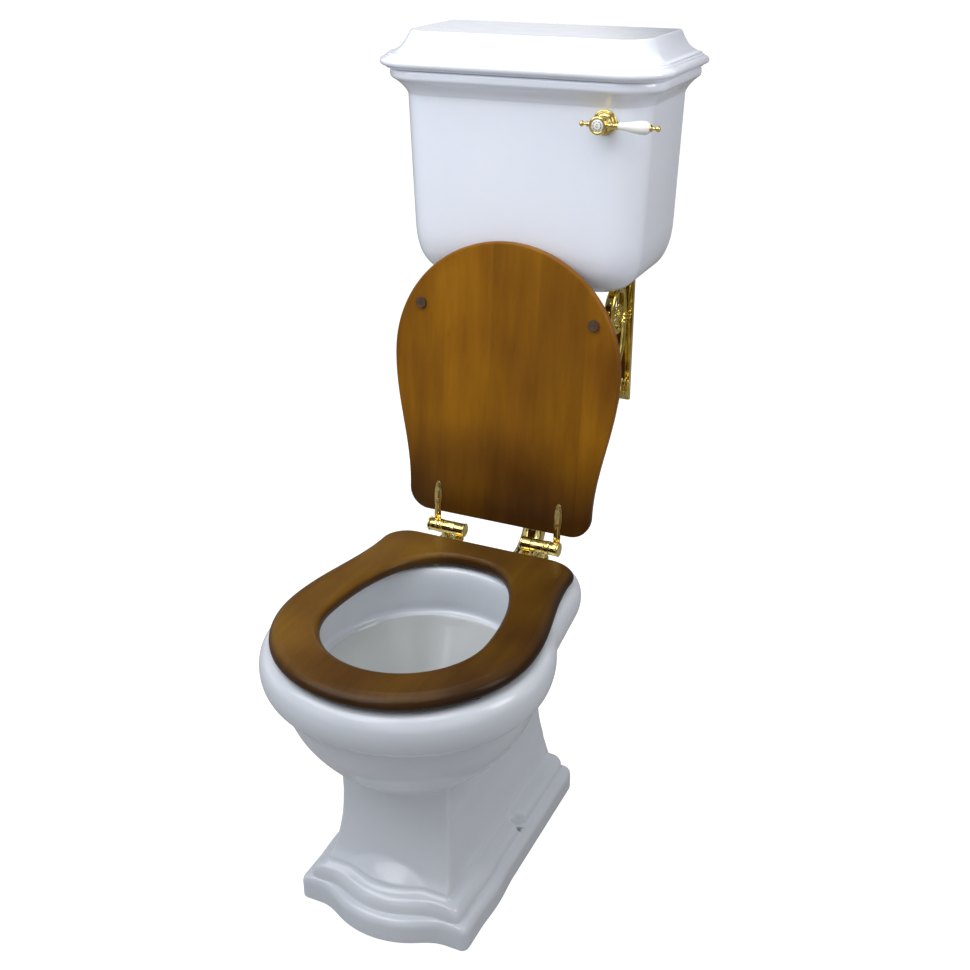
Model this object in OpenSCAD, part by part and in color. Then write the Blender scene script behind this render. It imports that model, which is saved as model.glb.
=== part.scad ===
// Low-level toilet: a pedestal pan with a wooden seat and lid, and a cistern on wall brackets.
// The floor is z = 0, the wall is the plane y = wall_y, and the pan faces -Y.

/* [Layout] */
// Distance from the front of the rim to the wall
overall_depth = 740; // [700:5:800]
// Height of the cistern outlet shoulder above the floor
tank_bottom_z = 805; // [760:5:900]
// Height of the joint between cistern and cistern lid
tank_top_z = 1110; // [1080:5:1200]

/* [Pan] */
// Height of the rim's top face
rim_top_z = 421; // [400:1:440]
// Radius of the rim's round front at its widest
rim_r = 201; // [196:1:206]
// Half width of the rim level with the hinges
rear_half_w = 158; // [152:1:162]
// Half width of the pedestal column
column_half_w = 84; // [78:1:90]
// Half width of the plinth
plinth_half_w = 134; // [128:1:138]
// Height of the plinth with both mouldings
plinth_h = 66; // [60:1:72]
// Wall thickness of the ceramic
wall_t = 13; // [12:1:15]

/* [Seat and lid] */
// Radius of the seat's round front
seat_r = 186; // [180:1:190]
// Length of the seat from front to rear edge
seat_len = 430; // [425:1:435]
// Thickness of the seat
seat_t = 19; // [18:1:20]
// Thickness of the wooden lid
lid_t = 18; // [16:1:19]
// Angle by which the open lid leans back
lid_lean = 5.6; // [4:0.1:6]

/* [Hinges] */
// Height of the hinge axis
hinge_z = 441; // [440:0.5:442]
// Distance from the middle of the pan to the middle of each hinge
hinge_x = 80; // [76:1:84]
// Outer radius of the hinge barrels
barrel_r = 10; // [9:0.5:11]

/* [Cistern] */
// Half width of the tank under its flange
tank_half_w = 184; // [176:1:190]
// Depth of the tank from front to wall
tank_depth = 190; // [180:1:200]
// Half width of the cistern lid at its widest
cover_half_w = 217; // [212:1:222]
// Height of the cistern lid
cover_h = 50; // [44:1:56]

/* [Lever] */
// Distance of the lever from the middle of the cistern
lever_x = 131; // [128:1:133]
// Height of the lever
lever_z = 1056; // [1050:1:1060]

/* [Hidden] */

wall_y = overall_depth / 2;
rim_front_y = -overall_depth / 2;
rim_cy = rim_front_y + rim_r;
porcelain = [0.93, 0.94, 0.96];
gold = [0.83, 0.66, 0.28];
wood = [0.45, 0.27, 0.10];

// ---- Outline helpers ----

// Ease from 0 to 1 with level ends
function ease(t) = (1 - cos(180 * min(1, max(0, t)))) / 2;
// Value at z of a list of [z, value] pairs, straight between them
function at(z, table, i = 0) =
    z <= table[0][0] ? table[0][1] :
    i + 1 >= len(table) ? table[len(table) - 1][1] :
    z <= table[i + 1][0]
        ? table[i][1] + (table[i + 1][1] - table[i][1])
            * (z - table[i][0]) / (table[i + 1][0] - table[i][0])
        : at(z, table, i + 1);
// Smooth minimum and maximum of two radii, blended over k
function smin(a, b, k) = min(a, b) - pow(max(k - abs(a - b), 0), 2) / (4 * k);
function smax(a, b, k) = -smin(-a, -b, k);

// Rounded rectangle ring, symmetric in x, with its own corner radii at the front and rear
FRONT_STEPS = 7;
REAR_STEPS = 2;
function rrect_ring(w, yf, yb, rf, rb, z) = concat(
    [for (i = [0 : FRONT_STEPS])
        let (t = 90 * i / FRONT_STEPS)
        [w - rf + rf * sin(t), yf + rf - rf * cos(t), z]],
    [for (i = [0 : REAR_STEPS])
        let (t = 90 * i / REAR_STEPS)
        [w - rb + rb * cos(t), yb - rb + rb * sin(t), z]],
    [for (i = [REAR_STEPS : -1 : 0])
        let (t = 90 * i / REAR_STEPS)
        [-(w - rb + rb * cos(t)), yb - rb + rb * sin(t), z]],
    [for (i = [FRONT_STEPS : -1 : 0])
        let (t = 90 * i / FRONT_STEPS)
        [-(w - rf + rf * sin(t)), yf + rf - rf * cos(t), z]]
);

// Solid skin over a list of rings with equal counts, closed at each end by a fan about x = 0, y = mid_y
module loft(rings, mid_y) {
    n = len(rings[0]);
    m = len(rings);
    polyhedron(
        points = concat(
            [for (r = rings) for (p = r) p],
            [[0, mid_y, rings[0][0][2]], [0, mid_y, rings[m - 1][0][2]]]
        ),
        faces = concat(
            [for (i = [0 : n - 1]) [n * m, i, (i + 1) % n]],
            [for (i = [0 : n - 1]) [n * m + 1, (m - 1) * n + (i + 1) % n, (m - 1) * n + i]],
            [for (j = [0 : m - 2]) for (i = [0 : n - 1])
                let (a = j * n + i, b = j * n + (i + 1) % n)
                [a, a + n, b + n, b]]
        ),
        convexity = 8
    );
}

// Closed skin over rings that come back to the first one
module loop_loft(rings) {
    n = len(rings[0]);
    m = len(rings);
    polyhedron(
        points = [for (r = rings) for (p = r) p],
        faces = [for (j = [0 : m - 1]) for (i = [0 : n - 1])
            let (a = j * n + i, b = j * n + (i + 1) % n, next = ((j + 1) % m - j) * n)
            [a, a + next, b + next, b]],
        convexity = 8
    );
}

module cyl_y(r, y0, y1, x, z, fn = 48) {
    translate([x, y0, z]) rotate([-90, 0, 0]) cylinder(r = r, h = y1 - y0, $fn = fn);
}

module cyl_x(r, x0, x1, y, z, fn = 48) {
    translate([x0, y, z]) rotate([0, 90, 0]) cylinder(r = r, h = x1 - x0, $fn = fn);
}

// ---- Pan ----
// Sections are polar outlines about a centre on the line of symmetry.

pan_cy = -110;
PAN_STEPS = 72;
rim_rear_y = 120;
rim_taper = 0.1;
rim_taper_y = 100;
rim_side_y = rim_cy + 40;
rim_square = 4;
bowl_cy = rim_cy + 3;
rim_low_z = 358;
rim_mid_z = 391;
bowl_low_z = 200;
column_front_y = -231;
column_rear_y = 96;
plinth_front_y = -281;
plinth_rear_y = 120;
plinth_bow_y = -310;
plinth_bow_r = 133;
foot_step_z = 40;
basin_low_z = 214;
hollow_top_z = 180;
outlet_z = 190;
outlet_r = 51;
outlet_wall = 7;
outlet_end_y = 182;
outlet_joint_y = 116;
inlet_z = 345;
inlet_end_y = rim_rear_y + 28;
inlet_boss_r = 36;
inlet_bore_r = 27.5;
floor_hole_x = 120;
floor_hole_y = -56;
floor_hole_r = 4.5;
stud_r = 4;
pocket_z = 385;
hinge_y = 105;

// Radius to a circle of radius r centred at (0, cy), in the direction a from -Y
function circle_at(a, r, cy) =
    let (d = -(cy - pan_cy), s = sin(a), c = cos(a), q = r * r - d * d * s * s)
    q <= 0 ? 1 : d * c + sqrt(q);
// Radius to a box of half width w from yf to yb
function box_at(a, w, yf, yb) = min(
    w / max(abs(sin(a)), 0.001),
    cos(a) > 0 ? (pan_cy - yf) / max(cos(a), 0.001) : (yb - pan_cy) / max(-cos(a), 0.001)
);
// Box with rounded corners, by a smooth minimum
function soft_box_at(a, w, yf, yb, k) =
    smin(w / max(abs(sin(a)), 0.001),
        cos(a) > 0 ? (pan_cy - yf) / max(cos(a), 0.001) : (yb - pan_cy) / max(-cos(a), 0.001), k);
function polar_ring(rs, z) = [for (i = [0 : PAN_STEPS - 1])
    let (a = 360 * i / PAN_STEPS) [rs[i] * sin(a), pan_cy - rs[i] * cos(a), z]];
function angles() = [for (i = [0 : PAN_STEPS - 1]) 360 * i / PAN_STEPS];

// Outline of the rim, inset by d: a round front that runs straight back to wide rounded rear corners
function rim_side_at(a, d) =
    (rear_half_w - d + rim_taper * (rim_taper_y - pan_cy)) / max(abs(sin(a)) - rim_taper * cos(a), 0.001);
function rim_end_at(a, d) =
    cos(a) > 0 ? (pan_cy - rim_side_y) / max(cos(a), 0.001)
        : (rim_rear_y - d - pan_cy) / max(-cos(a), 0.001);
function rim_radii(d) = [for (a = angles())
    smax(circle_at(a, rim_r - d, rim_cy) + (cos(a) > 0 ? rim_square * pow(sin(2 * a), 2) : 0),
        smin(rim_side_at(a, d), rim_end_at(a, d), 100), 10)];
// Radius of the bowl's outside below the rim
BOWL = [[200, 58], [210, 76], [225, 98], [245, 121], [270, 144], [300, 164], [330, 176], [358, 183]];
// Half width, front and rear of the column by height
COLUMN_W = [[66, 99], [90, 92], [130, 86], [200, 84], [330, 88], [358, 98]];
COLUMN_FRONT = [[66, -262], [90, -246], [130, -236], [200, column_front_y]];
COLUMN_REAR = [[66, 108], [100, 104], [176, 94], [300, 92], [340, 110]];
function column_at(a, z) = soft_box_at(a, at(z, COLUMN_W) * column_half_w / 84,
    at(z, COLUMN_FRONT), at(z, COLUMN_REAR), 6);
function outer_radii(z) = [for (a = angles())
    z < bowl_low_z ? column_at(a, z)
        : smax(column_at(a, z), circle_at(a, at(z, BOWL), bowl_cy), 4)];
// Outline of the plinth, inset by d
function plinth_radii(d) = [for (a = angles())
    smax(soft_box_at(a, plinth_half_w - d, plinth_front_y + d * 0.4, plinth_rear_y - d * 0.4, 14),
        circle_at(a, plinth_bow_r - d, plinth_bow_y + plinth_bow_r), 16)];
// Oval of half width w and half length l about (0, cy)
function oval_at(a, w, l, cy) =
    let (e = pan_cy - cy, p = pow(sin(a) / w, 2) + pow(cos(a) / l, 2), q = e * cos(a) / (l * l))
    (q + sqrt(q * q + p * (1 - e * e / (l * l)))) / p;
function basin_radii(w, l, cy) = [for (a = angles()) oval_at(a, w, l, cy)];
function column_inner(z, d) = [for (a = angles())
    box_at(a, at(z, COLUMN_W) - d, at(z, COLUMN_FRONT) + d, at(z, COLUMN_REAR) - d)];

module pan_shell() {
    loft(concat(
        // Hollow underside, from its ceiling down to the floor
        [for (z = [hollow_top_z, 130, 90]) polar_ring(column_inner(z, wall_t), z)],
        [polar_ring(plinth_radii(wall_t + 14), foot_step_z),
            polar_ring(plinth_radii(wall_t + 13), 0)],
        // Plinth with its two mouldings
        [polar_ring(plinth_radii(3), 0),
            polar_ring(plinth_radii(0), 4),
            polar_ring(plinth_radii(0), foot_step_z - 10),
            polar_ring(plinth_radii(3), foot_step_z - 3),
            polar_ring(plinth_radii(12), foot_step_z + 2),
            polar_ring(plinth_radii(15), foot_step_z + 4),
            polar_ring(plinth_radii(17), foot_step_z + 12),
            polar_ring(plinth_radii(24), plinth_h - 6),
            polar_ring(outer_radii(plinth_h), plinth_h)],
        // Column, bowl and rim
        [for (z = [76, 90, 110, 130, 160, 199, 203, 210, 218, 225, 235, 245, 257, 270, 285, 300, 315,
            330, 345]) polar_ring(outer_radii(z), z)],
        [polar_ring(rim_radii(20), rim_low_z),
            polar_ring(rim_radii(15), rim_low_z + 1.5),
            polar_ring(rim_radii(9), rim_low_z + 6),
            polar_ring(rim_radii(4), rim_low_z + 13.5),
            polar_ring(rim_radii(1), rim_mid_z - 10),
            polar_ring(rim_radii(0), rim_mid_z),
            polar_ring(rim_radii(1.5), rim_top_z - 20),
            polar_ring(rim_radii(6), rim_top_z - 8),
            polar_ring(rim_radii(14), rim_top_z - 1.5),
            polar_ring(rim_radii(20), rim_top_z)],
        // Basin, down to its sump
        [polar_ring(basin_radii(156, 168, -143), rim_top_z),
            polar_ring(basin_radii(149, 161, -143), rim_top_z - 5),
            polar_ring(basin_radii(147, 159, -143), rim_top_z - 15),
            polar_ring(basin_radii(147, 159, -143), 392),
            polar_ring(basin_radii(150, 160, -142), 356),
            polar_ring(basin_radii(143, 152, -141), 346.5),
            polar_ring(basin_radii(134, 142, -142), 331),
            polar_ring(basin_radii(121, 127, -142), 309),
            polar_ring(basin_radii(104, 108, -141), 284),
            polar_ring(basin_radii(86, 88, -139), 260),
            polar_ring(basin_radii(66, 66, -136), 238),
            polar_ring(basin_radii(46, 45, -133), 223),
            polar_ring(basin_radii(28, 27, -130), basin_low_z + 1)]
    ), pan_cy);
}

module pan() {
    color(porcelain) difference() {
        union() {
            pan_shell();
            cyl_y(outlet_r + 3, column_rear_y - 12, outlet_joint_y, 0, outlet_z, 64);
            cyl_y(inlet_boss_r, column_rear_y - 8, inlet_end_y, 0, inlet_z, 64);
        }
        cyl_y(outlet_r - outlet_wall, column_rear_y - 30, outlet_joint_y + 1, 0, outlet_z, 64);
        cyl_y(inlet_bore_r, rim_rear_y - 30, inlet_end_y + 1, 0, inlet_z, 64);
        cyl_y(15, 20, rim_rear_y - 20, 0, inlet_z, 48);
        translate([-66, 42, 150]) cube([132, 38, 170]);
        translate([-66, 5, 150]) cube([132, 40, 130]);
        for (s = [-1, 1]) {
            translate([s * floor_hole_x, floor_hole_y, -1])
                cylinder(r = floor_hole_r, h = plinth_h + 4, $fn = 32);
            translate([s * hinge_x, hinge_y, pocket_z - 1])
                cylinder(r = 7, h = rim_top_z - pocket_z + 2, $fn = 32);
            translate([s * hinge_x, hinge_y, 300])
                cylinder(r = 11, h = pocket_z - 300, $fn = 48);
        }
    }
}

// The rest of the pan's own outlet spigot, kept apart so that its bore stays open
module pan_outlet() {
    color(porcelain) difference() {
        cyl_y(outlet_r, outlet_joint_y, outlet_end_y, 0, outlet_z, 64);
        cyl_y(outlet_r - outlet_wall, outlet_joint_y - 1, outlet_end_y + 1, 0, outlet_z, 64);
    }
}

// ---- Flush pipe ----

pipe_r = 19;
pipe_wall = 1.5;
pipe_y = 275;
bend_r = 60;
pipe_top_z = tank_bottom_z - 38;
pipe_end_y = inlet_end_y - 22;

module ring_2d() {
    difference() {
        circle(r = pipe_r, $fn = 64);
        circle(r = pipe_r - pipe_wall, $fn = 64);
    }
}

module flush_pipe() {
    color(gold) {
        translate([0, pipe_y, inlet_z + bend_r])
            linear_extrude(pipe_top_z - inlet_z - bend_r) ring_2d();
        translate([0, pipe_end_y, inlet_z]) rotate([-90, 0, 0])
            linear_extrude(pipe_y - bend_r - pipe_end_y) ring_2d();
        translate([0, pipe_y - bend_r, inlet_z + bend_r]) rotate([90, 0, 90]) rotate([0, 0, -90])
            rotate_extrude(angle = 90, $fn = 64) translate([bend_r, 0]) ring_2d();
    }
}

module flush_pipe_nut() {
    color(gold) translate([0, pipe_y, pipe_top_z - 14]) difference() {
        union() {
            cylinder(r = 31, h = 22, $fn = 8);
            translate([0, 0, -6]) cylinder(r = 25, h = 6.5, $fn = 48);
        }
        translate([0, 0, -7]) cylinder(r = pipe_r + 0.05, h = 21.1, $fn = 64);
        translate([0, 0, 14]) cylinder(r = 23.2, h = 9, $fn = 64);
    }
}

module flush_cone() {
    color([0.12, 0.12, 0.12]) translate([0, 0, inlet_z]) rotate([-90, 0, 0])
        rotate_extrude($fn = 64) polygon([
            [pipe_r + 0.05, inlet_end_y - 18], [inlet_bore_r - 0.1, inlet_end_y - 18],
            [inlet_bore_r - 0.1, inlet_end_y + 0.2], [inlet_boss_r + 2, inlet_end_y + 0.2],
            [inlet_boss_r + 2, inlet_end_y + 5], [pipe_r + 6, inlet_end_y + 22],
            [pipe_r + 0.05, inlet_end_y + 24]]);
}

// ---- Wooden seat and lid ----

seat_top_z = 446;
seat_rear_y = 70;
seat_rear_half_w = 156;
seat_corner_r = 32;
seat_cy = seat_rear_y - seat_len + seat_r;
seat_low_z = seat_top_z - seat_t;
opening_r = 117;
opening_cy = -176;
opening_rear_y = 21;

// Right half of a keyhole outline from front middle to rear middle, as [x, y] pairs
ARC = 12;
FLANK = 8;
CORNER = 4;
function keyhole_side(r, cy, w, yb, rc) = concat(
    [for (i = [0 : ARC]) let (t = 90 * i / ARC) [r * sin(t), cy - r * cos(t)]],
    [for (i = [1 : FLANK - 1])
        let (u = i / FLANK) [w + (r - w) * (1 - ease(u)), cy + u * (yb - rc - cy)]],
    [for (i = [0 : CORNER]) let (t = 90 * i / CORNER)
        [w - rc + rc * cos(t), yb - rc + rc * sin(t)]]
);
function mirrored(side) = concat(side, [for (i = [len(side) - 1 : -1 : 1]) [-side[i][0], side[i][1]]]);
function keyhole(r, cy, w, yb, rc) = mirrored(keyhole_side(r, cy, w, yb, rc));
// Egg-shaped opening: round front, narrower round rear
function opening_side() = concat(
    [for (i = [0 : ARC]) let (t = 90 * i / ARC)
        [opening_r * sin(t), opening_cy - opening_r * cos(t)]],
    [for (i = [1 : FLANK + CORNER]) let (t = 90 * i / (FLANK + CORNER + 1))
        [opening_r * pow(cos(t), 0.8), opening_cy + (opening_rear_y - opening_cy) * sin(t)]]
);
function seat_outer() = keyhole(seat_r, seat_cy, seat_rear_half_w, seat_rear_y, seat_corner_r);
function seat_inner() = mirrored(opening_side());
// A station's point, d millimetres from the outer edge towards the inner one
function toward(p, q, d) = let (l = norm(q - p)) p + (q - p) * d / l;

module seat_ring() {
    outer = seat_outer();
    inner = seat_inner();
    function ring_out(d, z) = [for (i = [0 : len(outer) - 1])
        let (p = toward(outer[i], inner[i], d)) [p[0], p[1], z]];
    function ring_in(d, z) = [for (i = [0 : len(outer) - 1])
        let (p = toward(inner[i], outer[i], d)) [p[0], p[1], z]];
    color(wood) difference() {
        loop_loft([
            ring_out(5, seat_low_z), ring_out(1, seat_low_z + 3), ring_out(0, seat_low_z + 8),
            ring_out(1.5, seat_top_z - 6), ring_out(6, seat_top_z - 1.5), ring_out(11, seat_top_z),
            ring_in(10, seat_top_z), ring_in(5, seat_top_z - 1.5), ring_in(1.5, seat_top_z - 6),
            ring_in(0, seat_low_z + 8), ring_in(1, seat_low_z + 3), ring_in(5, seat_low_z)
        ]);
        for (p = leaf_screw_places())
            translate([p[0], p[1], seat_low_z - 1]) cylinder(r = 1.6, h = 13, $fn = 24);
    }
}

function buffer_places() = [[-137, -50], [137, -50], [-144, -262], [144, -262]];
module seat_buffers() {
    color([0.25, 0.16, 0.1]) for (p = buffer_places())
        translate([p[0], p[1], rim_top_z + 0.2])
            cylinder(r = 8, h = seat_low_z - rim_top_z - 0.2, $fn = 32);
}

leaf_t = 3;
seat_leaf_x = 57;
seat_leaf_w = 13;
pin_r = 4;
function leaf_screw_places() = [for (s = [-1, 1]) for (y = [30, 52]) [s * seat_leaf_x, y]];

module seat_leaves() {
    color(gold) for (s = [-1, 1]) difference() {
        union() {
            translate([s * seat_leaf_x - seat_leaf_w / 2, 16, seat_low_z - leaf_t])
                cube([seat_leaf_w, hinge_y - 16 - 4, leaf_t]);
            translate([s * seat_leaf_x - seat_leaf_w / 2, hinge_y - 9, seat_low_z - leaf_t])
                cube([seat_leaf_w, 9, 10]);
            cyl_x(barrel_r, s * seat_leaf_x - seat_leaf_w / 2, s * seat_leaf_x + seat_leaf_w / 2,
                hinge_y, hinge_z);
        }
        cyl_x(pin_r + 0.06, s * seat_leaf_x - 20, s * seat_leaf_x + 20, hinge_y, hinge_z);
        for (y = [30, 52]) translate([s * seat_leaf_x, y, seat_low_z - leaf_t - 1])
            cylinder(r = 2, h = leaf_t + 2, $fn = 24);
    }
}

module seat_leaf_screws() {
    color(gold) for (p = leaf_screw_places()) {
        translate([p[0], p[1], seat_low_z - leaf_t - 1.4]) cylinder(r = 3.6, h = 1.4, $fn = 32);
        translate([p[0], p[1], seat_low_z - leaf_t - 0.1]) cylinder(r = 1.6, h = 14, $fn = 24);
    }
}

// Lid, drawn closed above the seat and turned up about the hinge axis
lid_len = 428;
lid_low = 9.5;
lid_gap = 19;
lid_r = 179;
lid_rear_half_w = 150;
lid_rear_y = hinge_y - lid_gap;
lid_cy = lid_rear_y - lid_len + lid_r;
lid_low_z = hinge_z + lid_low;
lid_buffer_h = 4.2;

module opened() {
    translate([0, hinge_y, hinge_z]) rotate([-90 - lid_lean, 0, 0])
        translate([0, -hinge_y, -hinge_z]) children();
}

module lid() {
    outline = keyhole(lid_r, lid_cy, lid_rear_half_w, lid_rear_y, seat_corner_r);
    middle = [0, -150];
    function lid_ring(d, z) = [for (p = outline) let (q = toward(p, middle, d)) [q[0], q[1], z]];
    color(wood) opened() difference() {
        loft([
            lid_ring(5, lid_low_z), lid_ring(1, lid_low_z + 2.5), lid_ring(0, lid_low_z + 7),
            lid_ring(1, lid_low_z + lid_t - 6), lid_ring(4, lid_low_z + lid_t - 2),
            lid_ring(9, lid_low_z + lid_t)
        ], -150);
        for (p = lid_screw_places())
            translate([p[0], p[1], lid_low_z - 1]) cylinder(r = 1.6, h = 11, $fn = 24);
    }
}

module lid_buffers() {
    color([0.25, 0.16, 0.1]) opened() for (s = [-1, 1])
        translate([s * 136, lid_rear_y - 326, lid_low_z - lid_buffer_h])
            cylinder(r = 8, h = lid_buffer_h, $fn = 32);
}

lid_leaf_x = 100;
lid_leaf_w = 12;
lid_leaf_len = 52;
function lid_screw_places() = [for (s = [-1, 1]) for (d = [18, 38]) [s * lid_leaf_x, lid_rear_y - d]];

module lid_leaves() {
    color(gold) opened() for (s = [-1, 1]) difference() {
        union() {
            translate([s * lid_leaf_x - lid_leaf_w / 2, hinge_y - 22, lid_low_z - leaf_t])
                cube([lid_leaf_w, 22, leaf_t]);
            translate([s * lid_leaf_x, lid_rear_y, lid_low_z - leaf_t]) linear_extrude(leaf_t)
                polygon([[-6, 4], [-6, -lid_leaf_len + 20],
                    [-5, -lid_leaf_len + 8], [-2.5, -lid_leaf_len + 1],
                    [2.5, -lid_leaf_len + 1], [5, -lid_leaf_len + 8], [6, -lid_leaf_len + 20], [6, 4]]);
            cyl_x(barrel_r, s * lid_leaf_x - lid_leaf_w / 2, s * lid_leaf_x + lid_leaf_w / 2,
                hinge_y, hinge_z);
        }
        cyl_x(pin_r + 0.06, s * lid_leaf_x - 20, s * lid_leaf_x + 20, hinge_y, hinge_z);
        for (d = [18, 38]) translate([s * lid_leaf_x, lid_rear_y - d, lid_low_z - leaf_t - 1])
            cylinder(r = 2, h = leaf_t + 2, $fn = 24);
    }
}

module lid_leaf_screws() {
    color(gold) opened() for (p = lid_screw_places()) {
        translate([p[0], p[1], lid_low_z - leaf_t - 0.9]) cylinder(r = 3.6, h = 0.9, $fn = 32);
        translate([p[0], p[1], lid_low_z - leaf_t - 0.1]) cylinder(r = 1.6, h = 12, $fn = 24);
    }
}

// ---- Hinges ----

barrel_x0 = seat_leaf_x + seat_leaf_w / 2 + 0.3;
barrel_x1 = lid_leaf_x - lid_leaf_w / 2 - 0.3;
end_x = lid_leaf_x + lid_leaf_w / 2 + 0.3;

module hinge_barrels() {
    color(gold) for (s = [-1, 1]) difference() {
        union() {
            cyl_x(barrel_r, min(s * barrel_x0, s * barrel_x1), max(s * barrel_x0, s * barrel_x1),
                hinge_y, hinge_z);
            cyl_x(barrel_r + 0.8, s * (barrel_x1 - 4) - 2, s * (barrel_x1 - 4) + 2, hinge_y, hinge_z);
            translate([s * hinge_x, hinge_y, rim_top_z + 0.1])
                cylinder(r = 11, h = 3, $fn = 48);
            translate([s * hinge_x, hinge_y, rim_top_z + 0.1])
                cylinder(r = 8, h = hinge_z - rim_top_z - 4, $fn = 48);
        }
        cyl_x(pin_r, s * hinge_x - 40, s * hinge_x + 40, hinge_y, hinge_z);
    }
}

module hinge_pins() {
    color(gold) for (s = [-1, 1]) {
        x0 = seat_leaf_x - seat_leaf_w / 2 - 0.4;
        cyl_x(pin_r, min(s * x0, s * end_x), max(s * x0, s * end_x), hinge_y, hinge_z);
        cyl_x(barrel_r + 0.8, min(s * (x0 - 2.5), s * x0), max(s * (x0 - 2.5), s * x0), hinge_y, hinge_z);
        cyl_x(barrel_r + 0.8, min(s * end_x, s * (end_x + 3)), max(s * end_x, s * (end_x + 3)),
            hinge_y, hinge_z);
    }
}

module hinge_studs() {
    color(gold) for (s = [-1, 1]) translate([s * hinge_x, hinge_y, pocket_z - 18])
        cylinder(r = stud_r, h = rim_top_z + 0.1 - pocket_z + 18, $fn = 32);
}

module hinge_washers() {
    color([0.2, 0.2, 0.2]) for (s = [-1, 1]) translate([s * hinge_x, hinge_y, pocket_z - 2.2])
        difference() {
            cylinder(r = 10, h = 2, $fn = 32);
            translate([0, 0, -1]) cylinder(r = stud_r + 0.05, h = 6, $fn = 32);
        }
}

module hinge_nuts() {
    color([0.2, 0.2, 0.2]) for (s = [-1, 1]) translate([s * hinge_x, hinge_y, pocket_z - 10.4])
        difference() {
            cylinder(r = 8, h = 8, $fn = 6);
            translate([0, 0, -1]) cylinder(r = stud_r, h = 10, $fn = 32);
        }
}

// ---- Cistern ----

tank_front_y = wall_y - tank_depth;
front_r = 48;
inner_front_r = 26;
tank_wall = 10;
outlet_hole_r = 24;
stem_x = -75;
stem_y = 325;
stem_hole_r = 11;
lever_hole_r = 9;

// Rings of the tank's outside, inset by d, of its flange, standing out by f, and of its inside
function body_ring(d, z) =
    rrect_ring(tank_half_w - (1060 - z) * 0.035 - d, tank_front_y + d, wall_y - min(d, 6),
        max(front_r - d * 0.5, 12), 6, z);
function flange_ring(f, z) = rrect_ring(tank_half_w + f, tank_front_y - f, wall_y, front_r + f * 0.6, 6, z);
function inner_ring(d, z) =
    rrect_ring(tank_half_w - 8 - tank_wall - d, tank_front_y + tank_wall + d,
        wall_y - tank_wall - d * 0.5, inner_front_r, 14, z);

module cistern_tank() {
    b = tank_bottom_z;
    color(porcelain) difference() {
        loft([
            inner_ring(34, b + 12), inner_ring(12, b + 22), inner_ring(2, b + 42), inner_ring(0, b + 70),
            inner_ring(0, tank_top_z - 30), inner_ring(-8, tank_top_z - 14), inner_ring(-10, tank_top_z),
            flange_ring(20, tank_top_z), flange_ring(22, tank_top_z - 3), flange_ring(22, tank_top_z - 12),
            flange_ring(20, tank_top_z - 15), flange_ring(12, tank_top_z - 20),
            flange_ring(5, tank_top_z - 28), flange_ring(1, tank_top_z - 34),
            body_ring(0, tank_top_z - 36.5), body_ring(0, b + 72), body_ring(1, b + 58),
            body_ring(5, b + 42), body_ring(12, b + 28), body_ring(23, b + 15), body_ring(38, b + 5),
            body_ring(56, b)
        ], pipe_y);
        translate([0, pipe_y, b - 1]) cylinder(r = outlet_hole_r, h = 20, $fn = 64);
        translate([stem_x, stem_y, b - 1]) cylinder(r = stem_hole_r, h = 20, $fn = 48);
        cyl_y(lever_hole_r, tank_front_y - 5, tank_front_y + 25, lever_x, lever_z);
        for (s = [-1, 1]) cyl_y(4.5, wall_y - 20, wall_y + 5, s * 130, tank_top_z - 75, 32);
    }
}

cover_z = tank_top_z + 1;
function cover_ring(d, z) =
    rrect_ring(cover_half_w - d, tank_front_y - (cover_half_w - tank_half_w) + d,
        wall_y - d * 0.45, max(front_r + 14 - d * 0.5, 8), max(8 - d * 0.1, 3), z);

module cistern_lid() {
    top = cover_z + cover_h - 1;
    color(porcelain) loft([
        cover_ring(30, cover_z + 12), cover_ring(28, cover_z + 6),
        cover_ring(16, cover_z), cover_ring(7, cover_z),
        cover_ring(5, cover_z + 2), cover_ring(1, cover_z + 4),
        cover_ring(0, cover_z + 7), cover_ring(1, cover_z + 11),
        cover_ring(5, cover_z + 14), cover_ring(6, cover_z + 16), cover_ring(9, cover_z + 17),
        cover_ring(10, cover_z + 20), cover_ring(20, cover_z + 24), cover_ring(29, cover_z + 31),
        cover_ring(35, cover_z + 39), cover_ring(38, top - 2), cover_ring(40, top)
    ], pipe_y);
}

// ---- Lever ----

hub_y = tank_front_y - 22;

module lever_escutcheon() {
    color(gold) translate([lever_x, tank_front_y, lever_z]) rotate([90, 0, 0])
        rotate_extrude($fn = 64) polygon([[6.1, 0.2], [16.5, 0.2], [17, 1.5], [16, 3], [13.5, 3.6], [12, 5],
            [9.5, 6.5], [9, 9], [6.1, 9]]);
}

module lever_bush() {
    color(gold) difference() {
        cyl_y(8.9, tank_front_y + 0.2, tank_front_y + 24, lever_x, lever_z);
        cyl_y(6.1, tank_front_y, tank_front_y + 30, lever_x, lever_z);
    }
}

module lever_bush_nut() {
    color(gold) translate([lever_x, tank_front_y + tank_wall + 0.4, lever_z])
        rotate([-90, 0, 0]) difference() {
        cylinder(r = 13, h = 6, $fn = 6);
        translate([0, 0, -1]) cylinder(r = 8.9, h = 8, $fn = 48);
    }
}

module lever_spindle() {
    color(gold) cyl_y(6.05, hub_y + 4, tank_front_y + 40, lever_x, lever_z);
}

module lever_hub() {
    color(gold) difference() {
        union() {
            cyl_y(10, hub_y - 6, tank_front_y - 9.5, lever_x, lever_z);
            cyl_x(3, lever_x - 16, lever_x + 16, hub_y, lever_z, 32);
        }
        cyl_y(6.05, hub_y + 4, tank_front_y, lever_x, lever_z);
    }
}

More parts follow.
